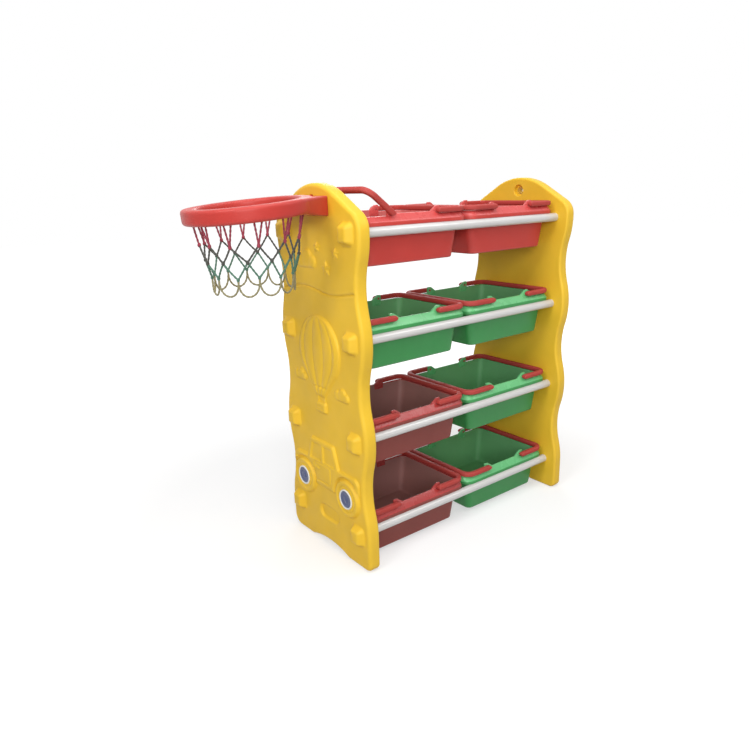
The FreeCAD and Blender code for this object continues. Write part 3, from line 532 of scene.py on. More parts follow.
def balloon_height(y, z):
    """A hot-air balloon with puffed gores, a band, a woven basket and two ropes."""
    envelope = circle_distance(y, z, (0.0, BALLOON_CENTRE), BALLOON_RADIUS)
    (wide, top), (narrow, neck) = SKIRT_TOP, SKIRT_NECK
    skirt = polygon_distance(y, z, [(-wide, top), (wide, top), (narrow, neck), (-narrow, neck)])
    outline = np.minimum(envelope, skirt)
    rise = z - BALLOON_CENTRE
    round_width = np.sqrt(np.clip(BALLOON_RADIUS ** 2 - rise ** 2, 1.0, None))
    skirt_width = narrow + (wide - narrow) * (z - neck) / (top - neck)
    width = np.where(z > top, round_width, np.maximum(skirt_width, 1.0))
    gore = np.arcsin(np.clip(y / width, -1, 1)) / pi * BALLOON_GORES
    puff = np.sqrt(np.abs(np.sin(pi * (gore + 0.5))))
    inside = np.clip(-outline / GORE_MARGIN, 0, 1)
    height = flank(outline, BALLOON_RELIEF, width=5.0) + inside * GORE_PUFF * puff
    height -= inside * groove(z - BAND_HEIGHT - BAND_CURVE * y * y, depth=2.4, width=2.2)
    basket = box_distance(y, z, *BASKET)
    weave = WEAVE_HEIGHT * np.cos(2 * pi * (z - WEAVE_FOOT) / WEAVE_PITCH)
    basket_height = flank(basket, BASKET_RELIEF, width=4.0)
    basket_height += np.where(basket < -BASKET_EDGE, weave * np.clip(-basket / BASKET[2], 0, 1), 0.0)
    height = np.maximum(height, basket_height)
    for sign in (-1, 1):
        rope = box_distance(y, z, (sign * ROPE_PLACE[0], ROPE_PLACE[1]), ROPE_HALF, 1.0)
        height = np.maximum(height, flank(rope, height=3.0, width=3.0))
    return height


def cloud_height(y, z, place):
    cy, cz, scale = place
    (base_y, base_z), (half_y, half_z), corner = CLOUD_BASE
    outline = box_distance(y, z, (cy + base_y * scale, cz + base_z * scale),
                           (half_y * scale, half_z * scale), corner)
    puff = np.zeros(y.shape)
    for dy, dz, radius in CLOUD_LOBES:
        lobe = circle_distance(y, z, (cy + dy * scale, cz + dz * scale), radius * scale)
        outline = np.minimum(outline, lobe)
        puff = np.maximum(puff, np.sqrt(np.clip(-lobe / (radius * scale), 0, 1)))
    return flank(outline, CLOUD_RELIEF, width=4.5) + np.where(outline < 0, CLOUD_PUFF * puff, 0.0)


def star_height(y, z, place):
    cy, cz, radius = place
    corners = []
    for index in range(10):
        reach = radius if index % 2 == 0 else radius * STAR_WAIST
        angle = pi / 2 + index * pi / 5
        corners.append((cy + reach * cos(angle), cz + reach * sin(angle)))
    outline = polygon_distance(y, z, corners)
    crest = np.clip(-outline / (radius * STAR_WAIST * STAR_CREST_SHARE), 0, 1)
    return flank(outline, STAR_RELIEF, width=3.5) + STAR_CREST * crest


def relief_height(y, z):
    """How far the outer face stands out at (y, z)."""
    layers = [car_height(y, z), balloon_height(y, z)]
    layers += [cloud_height(y, z, place) for place in CLOUD_PLACES]
    layers += [star_height(y, z, place) for place in STAR_PLACES]
    for tier_height in TIER_HEIGHTS:
        for sign in (-1, 1):
            boss = box_distance(y, z, (sign * TUBE_HALF_SPACING, tier_height),
                                (BOSS_HALF_WIDTH, BOSS_HALF_HEIGHT), BOSS_CORNER)
            pillow = flank(boss + BOSS_FLANK / 2, BOSS_DEPTH - BOSS_CROWN, BOSS_FLANK)
            crown = np.clip(-boss / BOSS_HALF_WIDTH, 0, 1)
            layers.append(pillow + BOSS_CROWN * crown * (2 - crown))
    height = np.max(layers, axis=0)
    height -= flank(box_distance(y, z, SLOT_CENTRE, SLOT_HALF, SLOT_CORNER), SLOT_DEPTH, width=5.0)
    wave = GROOVE_HEIGHT + GROOVE_WAVE * np.sin(pi * (y - GROOVE_PHASE) / GROOVE_HALF_LENGTH)
    fade = np.clip((GROOVE_END - np.abs(y)) / GROOVE_FADE, 0, 1)
    height -= fade * groove(z - wave, depth=3.6, width=2.6)
    return height


def panel_shape():
    """The left panel with its outer face at x = 0: a fine relief grid, rounded edges and a flat back."""
    bottom, rear, top, front = panel_paths()
    columns = int(2 * PANEL_HALF_DEPTH / PANEL_CELL)
    rows = int(PANEL_HEIGHT / PANEL_CELL)
    bottom, top = resample(bottom, columns), resample(top, columns)
    rear, front = resample(rear, rows), resample(front, rows)
    loop = np.concatenate([bottom[:-1], rear[:-1], top[::-1][:-1], front[::-1][:-1]])
    tangent = np.roll(loop, -1, 0) - np.roll(loop, 1, 0)
    tangent /= np.linalg.norm(tangent, axis=1)[:, None]
    outward = np.stack([tangent[:, 1], -tangent[:, 0]], 1)

    edge = loop - outward * OUTER_ROUND
    low = edge[:columns + 1]
    right = edge[columns:columns + rows + 1]
    high = edge[columns + rows:2 * columns + rows + 1][::-1]
    left = np.concatenate([edge[2 * columns + rows:], edge[:1]])[::-1]
    u = np.linspace(0, 1, columns + 1)[None, :, None]
    v = np.linspace(0, 1, rows + 1)[:, None, None]
    grid = (1 - v) * low[None] + v * high[None] + (1 - u) * left[:, None] + u * right[:, None]
    grid -= (1 - u) * (1 - v) * low[0] + u * (1 - v) * low[-1] + (1 - u) * v * high[0] + u * v * high[-1]
    y, z = grid[..., 0], grid[..., 1]
    points = [xyz(-relief_height(y, z), y, z).reshape(-1, 3)]
    index = np.arange((rows + 1) * (columns + 1)).reshape(rows + 1, columns + 1)
    cells = np.stack([index[:-1, :-1], index[:-1, 1:], index[1:, 1:], index[1:, :-1]], -1)
    faces = cells.reshape(-1, 4).tolist()

    rings = []
    turns = [pi / 2 * step / EDGE_STEPS for step in range(EDGE_STEPS + 1)]
    for turn in turns[1:]:
        rings.append((OUTER_ROUND * (1 - sin(turn)), OUTER_ROUND * (1 - cos(turn))))
    for turn in turns:
        rings.append((INNER_ROUND * (1 - cos(turn)), PANEL_THICKNESS - INNER_ROUND * (1 - sin(turn))))
    rings.append((INNER_ROUND + BACK_MARGIN, PANEL_THICKNESS))
    last = np.concatenate([index[0, :-1], index[:-1, -1], index[-1, :0:-1], index[:0:-1, 0]])
    for number, (inset, x) in enumerate(rings):
        points.append(xyz(x, *(loop - outward * inset).T))
        ring = index.size + number * len(loop) + np.arange(len(loop))
        faces += np.stack([last, ring, np.roll(ring, -1), np.roll(last, -1)], 1).tolist()
        last = ring
    faces.append(last.tolist())
    return Shape(np.concatenate(points), faces)


def hole_cutter():
    """A stepped plug, flared at both ends, with the shape of the hoop's hole and the seat of its nut."""
    seat = PANEL_THICKNESS - NUT_SEAT_DEPTH
    r, s = HOLE_RADIUS, NUT_SEAT_RADIUS
    profile = [(-3.0, r + 4.0), (-0.6, r + 2.4), (0.4, r + 1.0), (2.0, r + 0.15), (seat, r), (seat, s),
               (PANEL_THICKNESS - 1.6, s), (PANEL_THICKNESS - 0.4, s + 0.7), (PANEL_THICKNESS + 0.8, s + 2.0)]
    return Shape(*lathe(profile, (0.0, HOLE_HEIGHT), NUT_SEGMENTS))


def hub_shapes():
    """The two rings and the two stepped discs of a panel's hubs, on their seats in the wheels."""
    seat = -WHEEL_RELIEF + HUB_SEAT_DEPTH
    outer, bore, disc = HUB_RIM_RADIUS, HUB_BORE_RADIUS, HUB_DISC_RADIUS
    rim_profile = [(0.0, bore), (0.0, outer), (2.0, outer), (2.7, outer - 0.4), (3.0, outer - 1.1),
                   (3.0, bore + 1.1), (2.7, bore + 0.4), (2.0, bore)]
    disc_profile = [(0.0, disc), (1.3, disc), (1.9, disc - 0.4), (2.1, disc - 1.4), (2.3, 14.0),
                    (1.7, 12.8), (1.7, 8.6), (2.3, 7.6), (2.5, 4.0), (2.5, 1.0)]
    rims, discs = Shape(), Shape()
    for place in WHEEL_PLACES:
        for shape, profile in ((rims, rim_profile), (discs, disc_profile)):
            outwards = [(seat - rise, radius) for rise, radius in profile]
            shape.add(*lathe(outwards, place, ROUND_SEGMENTS, ring=shape is rims))
    return rims, discs


def to_side(side):
    """Move a shape made for the left panel's outer face to a side of the shelf."""
    sign = 1.0 if side == "left" else -1.0

    def place(points):
        return xyz(MIDDLE_X + sign * (points[:, 0] - PANEL_OUTER_X), *points[:, 1:].T)
    return place


def rectangle_loop(half_x, half_y, radius, z, along_x):
    """A rounded rectangle, anticlockwise from the front left, with set places along front and rear."""
    flat_x, flat_y = half_x - radius, half_y - radius
    turns = np.linspace(0, pi / 2, CORNER_STEPS + 1)[1:-1]
    half = [(x, -half_y) for x in [-flat_x] + along_x + [flat_x]]
    half += [(flat_x + radius * sin(turn), -flat_y - radius * cos(turn)) for turn in turns]
    half += [(half_x, -flat_y * share) for share in (1.0, 0.0, -1.0)]
    half += [(flat_x + radius * cos(turn), flat_y + radius * sin(turn)) for turn in turns]
    half = np.array(half)
    return xyz(*np.concatenate([half, -half]).T, z)


def wall_at(height, inset=0.0):
    share = (height - BIN_BOTTOM) / (RIM_TOP - BIN_BOTTOM)
    top, foot = np.array(WALL_TOP), np.array(WALL_FOOT)
    half_x, half_y, corner = foot + (top - foot) * share - inset
    return half_x, half_y, max(corner, LEAST_CORNER), height


def bin_profile(crest):
    """Half length, half depth, corner and height of the loops, from the base outside to the floor inside."""
    lip = (BIN_HALF_LENGTH, BIN_HALF_DEPTH, RIM_CORNER)
    lip_inside = tuple(value - BIN_WALL for value in lip)
    slope = (crest - RIM_LIP_TOP) / (RIM_TOP - RIM_LIP_TOP)
    edge = tuple(a + (b - a) * slope for a, b in zip(lip, WALL_TOP))
    under_rise = (RIM_TOP - RIM_LIP_TOP) * BIN_WALL / (BIN_HALF_DEPTH - WALL_TOP[1])
    under = RIM_LIP_TOP - RIM_SKIN_DROP + under_rise
    floor_height = BIN_BOTTOM + BIN_WALL
    corners = [
        (wall_at(BIN_BOTTOM, BASE_MARGIN), 0),
        (wall_at(BIN_BOTTOM), 6.0),
        (wall_at(crest - BIN_WALL - 1.0), 2.0),
        (lip_inside + (under,), 1.5),
        (lip_inside + (RIM_BOTTOM,), 1.2),
        (lip + (RIM_BOTTOM,), 1.2),
        (lip + (RIM_LIP_TOP,), 3.2),
        (edge + (crest,), 2.2),
        (wall_at(crest, BIN_WALL), 1.3),
        (wall_at(floor_height, BIN_WALL), 9.0),
        (wall_at(floor_height, BIN_WALL + FLOOR_MARGIN), 0),
    ]
    return round_corners(*zip(*corners))


def lug_shell(sx, sy):
    """An ear with a pin hole and a ramp, as a closed plate with softened edges."""
    outer_x = PIVOT_X + LUG_HALF_WIDTH
    ramp_x = PIVOT_X - LUG_HALF_WIDTH - LUG_RAMP
    corners = [(outer_x, LUG_BOTTOM), (outer_x, LUG_TOP), (PIVOT_X - LUG_HALF_WIDTH / 2, LUG_TOP),
               (ramp_x, RIM_TOP), (ramp_x, LUG_BOTTOM)]
    outline = round_corners(corners, [LUG_CORNER] * len(corners), 5)
    outline = np.concatenate([outline, outline[:1]])
    x, z = (resample(outline, cells=600) - (PIVOT_X, PIVOT_HEIGHT)).T
    angle = np.unwrap(np.arctan2(z, x))
    spread = np.linspace(angle[0], angle[0] + 2 * pi, LUG_SEGMENTS + 1)[:-1]
    reach = np.interp(spread, angle, np.hypot(x, z))
    c, s = np.cos(spread), np.sin(spread)
    hole = PIN_RADIUS + PIN_CLEARANCE
    half = [(hole, LUG_CHAMFER), (hole + LUG_CHAMFER, 0.0), (reach - LUG_EDGE, 0.0),
            (reach - 0.3 * LUG_EDGE, 0.3 * LUG_EDGE), (reach, LUG_EDGE)]
    profile = [(radius, LUG_OUTER_Y - LUG_THICKNESS + depth) for radius, depth in half]
    profile += [(radius, LUG_OUTER_Y - depth) for radius, depth in reversed(half)]
    loops = [xyz(sx * (PIVOT_X + c * radius), sy * y, PIVOT_HEIGHT + s * radius) for radius, y in profile]
    return loft(loops, ring=True)


def plate_strips(columns, start, first_end):
    """Faces that close a loop mirrored front to rear, as strips from one end's middle point to the other."""
    faces = []
    for step in range(columns // 2):
        near = [start + (first_end + k) % columns for k in (step, step + 1)]
        far = [start + (first_end - k) % columns for k in (step + 1, step)]
        faces.append(tuple(dict.fromkeys(near + far)))
    return faces


def bin_shape():
    """A bin round its own middle: walls, rolled hollow rim, raised middles and four lugs."""
    along_x = [-x for x in reversed(RIM_PLACES)] + [0.0] + list(RIM_PLACES)
    low, high = bin_profile(RIM_LEDGE), bin_profile(RIM_TOP)
    loops = []
    for ledge, crest in zip(low, high):
        loop = rectangle_loop(*ledge, along_x)
        raised = rectangle_loop(*crest, along_x)
        t = np.clip((RAISED_HALF_LENGTH + RAISED_RAMP / 2 - np.abs(loop[:, 0])) / RAISED_RAMP, 0, 1)
        on_long_side = np.abs(loop[:, 1]) > ledge[1] - 0.01
        weight = np.where(on_long_side, t * t * (3 - 2 * t), 0.0)[:, None]
        loops.append(loop * (1 - weight) + raised * weight)
    points, faces = loft(loops, caps=False)
    columns = len(loops[0])
    right_end = int(np.argmax(loops[0][:, 0] - np.abs(loops[0][:, 1])))
    base = plate_strips(columns, 0, right_end)
    floor_plate = plate_strips(columns, (len(loops) - 1) * columns, right_end)
    shape = Shape(points, faces + base + floor_plate)
    # The rim band and the lugs take the rim colour, a painted highlight; the rows inside and the floor take
    # the inside colour, painted light.
    for row in range(len(loops) - RIM_LOOPS, len(loops) - 1):
        paint = LIT_INSIDE_PAINT if row >= len(loops) - INSIDE_LOOPS else HIGHLIGHT_RIM_PAINT
        shape.paints[row * columns:(row + 1) * columns] = [paint] * columns
    shape.paints[-len(floor_plate):] = [LIT_INSIDE_PAINT] * len(floor_plate)
    for sx in (-1, 1):
        for sy in (-1, 1):
            shape.add(*lug_shell(sx, sy), HIGHLIGHT_RIM_PAINT)
    return shape


def bin_middle(side):
    return MIDDLE_X + (BIN_HALF_PITCH if side == "right" else -BIN_HALF_PITCH)


def handle_shape():
    """A bail that lies on the right half of a rim, with rounded eyes and a pin on each leg."""
    a, b, r = HANDLE_WIDTH / 2, HANDLE_THICKNESS / 2, HANDLE_ROUND
    section = []
    for quarter, (su, sv) in enumerate(((1, 1), (-1, 1), (-1, -1), (1, -1))):
        for turn in np.linspace(0, pi / 2, 5) + quarter * pi / 2:
            section.append((su * (a - r) + r * cos(turn), sv * (b - r) + r * sin(turn)))
    across, above = np.array(section).T

    stations = []
    for turn in np.radians(EYE_TURNS):
        stations.append((PIVOT_X - b * sin(turn), -LEG_CENTRE_Y, 0.0, cos(turn)))
    bend_x = GRIP_CENTRE_X - HANDLE_BEND
    bend_y = LEG_CENTRE_Y - HANDLE_BEND
    for along in LEG_PLACES:
        stations.append((PIVOT_X + along, -LEG_CENTRE_Y, 0.0, 1.0))
    for turn in np.linspace(0, pi / 2, BEND_STEPS + 1):
        x, y = bend_x + HANDLE_BEND * sin(turn), -bend_y - HANDLE_BEND * cos(turn)
        stations.append((x, y, turn, 1.0))
    stations.append((GRIP_CENTRE_X, -bend_y / 2, pi / 2, 1.0))
    middle = [(GRIP_CENTRE_X, 0.0, pi / 2, 1.0)]
    mirrored = [(x, -y, pi - heading, squeeze) for x, y, heading, squeeze in reversed(stations)]
    loops = []
    for x, y, heading, squeeze in stations + middle + mirrored:
        loops.append(xyz(x + sin(heading) * across, y - cos(heading) * across,
                         PIVOT_HEIGHT + squeeze * above))
    shape = Shape(*loft(loops))
    pin = [(LEG_CENTRE_Y - a + PIN_ROOT, PIN_RADIUS), (PIN_END_Y + PIN_CHAMFER, PIN_RADIUS),
           (PIN_END_Y, PIN_RADIUS - PIN_CHAMFER)]
    for sign in (-1, 1):
        profile = [(sign * y, radius) for y, radius in pin]
        points, faces = lathe(profile, (PIVOT_X, PIVOT_HEIGHT), segments=24)
        shape.add(points[:, [1, 0, 2]], faces)
    return shape


def handle_place(tier, side, end):
    """Where a handle made for the right end of a bin at the origin goes."""
    mirror = 1.0 if end == "right" else -1.0
    turn = RAISED_ANGLE if (tier, side, end) == RAISED_HANDLE else 0.0
    height = TIER_HEIGHTS[TIERS.index(tier)]

    def place(points):
        along = points[:, 0] - PIVOT_X
        above = points[:, 2] - PIVOT_HEIGHT
        x = PIVOT_X + along * cos(turn) - above * sin(turn)
        z = PIVOT_HEIGHT + along * sin(turn) + above * cos(turn)
        return xyz(bin_middle(side) + mirror * x, points[:, 1], height + z)
    return place


def droop(points):
    """Place points made round the hoop's own axis, which leans by the droop."""
    along = points[:, 0] - HOOP_REACH
    c, s = cos(HOOP_DROOP), sin(HOOP_DROOP)
    x = along * c - points[:, 2] * s
    z = along * s + points[:, 2] * c
    return xyz(LEFT_FACE_X + x, points[:, 1], HOOP_HEIGHT + z)


def hoop_shapes():
    """The ring, the bracket whose sides run on from the ring's wall, and the peg, to be joined."""
    half_w, half_h = HOOP_BAND_WIDTH / 2, HOOP_BAND_HEIGHT / 2
    corners = [(half_w, -half_h), (half_w, half_h), (-half_w, half_h), (-half_w, -half_h)]
    section = round_corners(corners, [HOOP_BAND_ROUND] * 4, 6)
    middle = HOOP_RADIUS - half_w
    loops = []
    for angle in np.linspace(0, 2 * pi, HOOP_SEGMENTS + 1)[:-1]:
        reach = middle + section[:, 0]
        loops.append(xyz(reach * cos(angle), reach * sin(angle), section[:, 1]))
    points, faces = loft(loops, ring=True)
    ring = Shape(droop(points), faces)

    neck_circle = HOOP_RADIUS - NECK_INSET
    neck_turn = atan2(BRACKET_HALF_WIDTH, HOOP_REACH)
    neck_turn += acos(neck_circle / hypot(BRACKET_HALF_WIDTH, HOOP_REACH))
    reach = HOOP_REACH - neck_circle * cos(neck_turn)
    neck = HOOP_HEIGHT - reach * tan(HOOP_DROOP)
    neck_section = (neck_circle * sin(neck_turn), neck - half_h, neck + half_h, HOOP_BAND_ROUND)
    panel_section = (BRACKET_HALF_WIDTH, BRACKET_BOTTOM, BRACKET_TOP, BRACKET_CORNER)
    loops = []
    for share in np.linspace(0, 1, 13):
        width, low, high, corner = [a + (b - a) * share for a, b in zip(panel_section, neck_section)]
        outline = round_corners([(-width, low), (width, low), (width, high), (-width, high)],
                                [corner] * 4, 5)
        loops.append(xyz(LEFT_FACE_X - reach * share, *outline.T))
    bracket = Shape(*loft(loops))
    peg_end = LEFT_FACE_X + PANEL_THICKNESS - NUT_CLEARANCE
    peg_radius = HOLE_RADIUS - PEG_CLEARANCE
    peg_profile = [(LEFT_FACE_X - PEG_ROOT, peg_radius), (peg_end - PEG_CHAMFER, peg_radius),
                   (peg_end, peg_radius - PEG_CHAMFER)]
    peg = Shape(*lathe(peg_profile, (0.0, HOLE_HEIGHT), segments=40))
    return ring, bracket, peg


def hoop_opening():
    """What is cut out of the bracket's block: the ring's hole and the room for the net."""
    inner = HOOP_RADIUS - HOOP_BAND_WIDTH + HOOP_BAND_ROUND
    room = NET_TOP_RADIUS + NET_ROOM
    half_h = HOOP_BAND_HEIGHT / 2
    profile = [(-OPENING_REACH, room), (-half_h, room), (-half_h + 1.0, inner), (OPENING_REACH, inner)]
    points, faces = lathe(profile, (0.0, 0.0), segments=96)
    return Shape(droop(points[:, [1, 2, 0]]), faces)


def nut_shape():
    back = LEFT_FACE_X + PANEL_THICKNESS - NUT_SEAT_DEPTH
    front = back + NUT_SEAT_DEPTH - NUT_CLEARANCE
    bore = HOLE_RADIUS
    profile = [(back, bore), (back, NUT_RADIUS), (front - 1.2, NUT_RADIUS), (front - 0.3, NUT_RADIUS - 0.4),
               (front, NUT_RADIUS - 1.3), (front, bore + 0.8), (front - 0.8, bore)]
    return Shape(*lathe(profile, (0.0, HOLE_HEIGHT), NUT_SEGMENTS, ring=True))


def net_place(column, share):
    """A point of the net: its top follows the leaning ring, and it hangs straight down from there."""
    angle = 2 * pi * (column + NET_TURN) / NET_COLUMNS
    radius = NET_TOP_RADIUS + (NET_BOTTOM_RADIUS - NET_TOP_RADIUS) * share
    x, y = radius * cos(angle), radius * sin(angle)
    ring, middle = droop(xyz([x, 0.0], [y, 0.0], -HOOP_BAND_HEIGHT / 2))
    level = ring[2] + (middle[2] - ring[2]) * share
    return np.array([ring[0], ring[1], level - NET_DROP * share])


def cord_run(points, twist):
    """A two-strand twisted cord along a path: an oval section that turns as it goes."""
    length = sum(np.linalg.norm(np.diff(points, axis=0), axis=1))
    path = resample(points, max(2, int(length / CORD_STEP)))
    tangent = np.gradient(path, axis=0)
    tangent /= np.linalg.norm(tangent, axis=1)[:, None]
    side = np.cross(tangent[0], ASKEW)
    loops = []
    angles = full_turn(CORD_SEGMENTS)
    for index, (point, along) in enumerate(zip(path, tangent)):
        side = side - along * np.dot(side, along)
        side /= np.linalg.norm(side)
        up = np.cross(along, side)
        turn = twist + index * CORD_TWIST
        oval = CORD_RADIUS * (1.0 + CORD_OVAL * np.cos(2 * (angles - turn)))
        loops.append(point + side * (oval * np.cos(angles))[:, None] + up * (oval * np.sin(angles))[:, None])
    return loft(loops)


def knot(centre, radius, stretch):
    """A small lumpy ball where cords meet."""
    loops = []
    angles = full_turn(KNOT_SEGMENTS)
    for turn in np.radians(KNOT_LATITUDES):
        ring = radius * cos(turn) * (1.0 + KNOT_LUMP * np.cos(3 * angles + turn * 2))
        loops.append(xyz(centre[0] + ring * np.cos(angles), centre[1] + ring * np.sin(angles),
                         centre[2] + stretch * radius * sin(turn)))
    return loft(loops)


def net_shape():
    """Twelve doubled cords from the ring, three rows of knots and loops at the bottom."""
    rng = random.Random(NET_SEED)
    shape = Shape()
    red, dark, green, yellow = range(4)
    rows = {}
    for row, share in enumerate(NET_ROWS, 1):
        for column in range(NET_COLUMNS):
            place = net_place(column + 0.5 * (row % 2), share)
            rows[(row, column)] = place + [rng.uniform(-NET_JITTER, NET_JITTER) for _ in range(3)]

    def run(start, end, paint, bow):
        sag = np.array([rng.uniform(-bow, bow), rng.uniform(-bow, bow), -bow * BOW_SAG])
        middle = (start + end) / 2 + sag
        t = np.linspace(0, 1, 9)[:, None]
        curve = (1 - t) ** 2 * start + 2 * t * (1 - t) * middle + t ** 2 * end
        shape.add(*cord_run(curve, rng.uniform(0, 3)), paint)

    for column in range(NET_COLUMNS):
        first = rows[(1, column)]
        for spread in (-PAIR_SPREAD, PAIR_SPREAD):
            hook = net_place(column + 0.5 + spread, 0.0)
            hook[2] += HOOK_RISE
            run(hook, first, red, HANGING_BOW)
        shape.add(*knot(first, KNOT_RADIUS, 1.25), red)
        for row, paint in ((2, dark), (3, green)):
            upper = rows[(row - 1, column)]
            step = 1 if row == 2 else -1
            for lower in (rows[(row, column)], rows[(row, (column + step) % NET_COLUMNS)]):
                run(upper, lower, paint, MESH_BOW)
        shape.add(*knot(rows[(2, column)], KNOT_RADIUS, 1.2), dark)
        left, right = rows[(3, column)], rows[(3, (column + 1) % NET_COLUMNS)]
        bottom = net_place(column + 1.0, 1.0)
        t = np.linspace(0, pi, 21)[:, None]
        across = (left + right) / 2 + (right - left) / 2 * -np.cos(t)
        depth = (left[2] + right[2]) / 2 - bottom[2]
        loop = across + np.array([0.0, 0.0, -1.0]) * depth * np.sin(t) ** LOOP_FULLNESS
        shape.add(*cord_run(loop, rng.uniform(0, 3)), yellow)
        shape.add(*knot(rows[(3, column)], KNOT_RADIUS * 0.9, 1.2), green)
    return shape


# Materials
NOISE_LOW, NOISE_HIGH = 0.3, 0.7
# Where pointiness turns edges paler: partly rubbed wear, partly a painted highlight on edges that catch
# light.
RUB_AND_HIGHLIGHT_START, RUB_AND_HIGHLIGHT_END = 0.505, 0.57
RUB_AND_HIGHLIGHT_WHITE = 0.35


def feed(tree, node, inputs):
    """Link a node's inputs to sockets, or set them to plain values."""
    for name, value in inputs.items():
        if isinstance(value, bpy.types.NodeSocket):
            tree.links.new(value, node.inputs[name])
        else:
            node.inputs[name].default_value = value
    return node


def add_node(tree, kind, inputs):
    return feed(tree, tree.nodes.new("ShaderNode" + kind), inputs)


def new_material(name):
    material = bpy.data.materials.new(name)
    material.use_nodes = True
    tree = material.node_tree
    coords = tree.nodes.new("ShaderNodeTexCoord").outputs["Object"]
    return material, tree, tree.nodes["Principled BSDF"], coords


def noise(tree, coords, scale, detail, rough=0.5):
    inputs = {"Vector": coords, "Scale": scale, "Detail": detail, "Roughness": rough}
    return add_node(tree, "TexNoise", inputs).outputs["Fac"]


def tint(tree, source, colour, dark, pale, low=NOISE_LOW, high=NOISE_HIGH):
    """A colour that a noise shades from a darker to a paler one."""
    node = add_node(tree, "ValToRGB", {"Fac": source})
    for element, place, factor in zip(node.color_ramp.elements, (low, high), (dark, pale)):
        element.position = place
        element.color = scaled(colour, factor) + (1.0,)
    return node.outputs["Color"]


def span(tree, source, low, high, to_low, to_high):
    inputs = {"Value": source, "From Min": low, "From Max": high, "To Min": to_low, "To Max": to_high}
    return add_node(tree, "MapRange", inputs).outputs["Result"]


def uneven(tree, source, low, high):
    return span(tree, source, NOISE_LOW, NOISE_HIGH, low, high)


def bumps(tree, source, strength, distance):
    inputs = {"Height": source, "Strength": strength, "Distance": distance}
    return add_node(tree, "Bump", inputs).outputs["Normal"]


def combine(tree, operation, first, second):
    node = add_node(tree, "Math", {0: first, 1: second})
    node.operation = operation
    return node.outputs["Value"]


def scaled(colour, factor):
    return tuple(min(1.0, c * factor) for c in colour)


def plastic(name, colour, roughness, edge=0.25, worn_and_highlight=None, coat=0.0, shine=0.22):
    """Moulded plastic: cloudy pigment, fine grain, uneven gloss and paler convex edges, partly rubbed wear
    and partly painted highlight.
    """
    material, tree, shader, coords = new_material(name)
    # The paler edge colour is partly rubbed wear and partly a painted highlight where edges catch light.
    pale = worn_and_highlight or tuple(c + (1.0 - c) * RUB_AND_HIGHLIGHT_WHITE for c in colour)
    cloud = noise(tree, coords, scale=9.0, detail=4.0)
    pointiness = tree.nodes.new("ShaderNodeNewGeometry").outputs["Pointiness"]
    rub_and_highlight = span(tree, pointiness, RUB_AND_HIGHLIGHT_START, RUB_AND_HIGHLIGHT_END, 0.0, edge)
    speck = uneven(tree, noise(tree, coords, scale=160.0, detail=2.0), 0.6, 1.0)
    mix = tree.nodes.new("ShaderNodeMix")
    mix.data_type = "RGBA"
    feed(tree, mix, {"Factor": combine(tree, "MULTIPLY", rub_and_highlight, speck),
                     6: tint(tree, cloud, colour, dark=0.93, pale=1.05), 7: pale + (1.0,)})
    patches = noise(tree, coords, scale=38.0, detail=3.0)
    grain = noise(tree, coords, scale=1100.0, detail=2.0, rough=0.6)
    feed(tree, shader, {"Base Color": mix.outputs[2],
                        "Roughness": uneven(tree, patches, roughness - 0.05, roughness + 0.07),
                        "Normal": bumps(tree, grain, strength=0.5, distance=0.00006),
                        "Specular IOR Level": shine})
    if coat:
        feed(tree, shader, {"Coat Weight": coat, "Coat Roughness": 0.18})
    return material


def coated_steel(name, colour):
    """White powder coat on a tube: faint clouds, uneven gloss and fine orange peel."""
    material, tree, shader, coords = new_material(name)
    cloud = noise(tree, coords, scale=14.0, detail=5.0)
    patches = noise(tree, coords, scale=60.0, detail=2.0)
    peel = noise(tree, coords, scale=420.0, detail=2.0)
    feed(tree, shader, {"Base Color": tint(tree, cloud, colour, dark=0.98, pale=1.01, low=0.32, high=0.68),
                        "Roughness": uneven(tree, patches, 0.16, 0.22),
                        "Normal": bumps(tree, peel, strength=0.25, distance=0.00004),
                        "Coat Weight": 0.4, "Coat Roughness": 0.1})
    return material


def cord_fibre(name, colour):
    """Twisted synthetic cord: fibre streaks, dull sheen and uneven dye."""
    material, tree, shader, coords = new_material(name)
    fibre = noise(tree, coords, scale=700.0, detail=3.0, rough=0.7)
    feed(tree, shader, {"Base Color": tint(tree, fibre, colour, dark=0.7, pale=1.2),
                        "Roughness": uneven(tree, fibre, 0.6, 0.85),
                        "Normal": bumps(tree, fibre, strength=0.6, distance=0.0003),
                        "Sheen Weight": 0.25})
    return material


YELLOW = (0.83, 0.52, 0.036)
RED = (0.55, 0.050, 0.040)
GREEN = (0.036, 0.27, 0.066)
MAROON = (0.24, 0.055, 0.045)
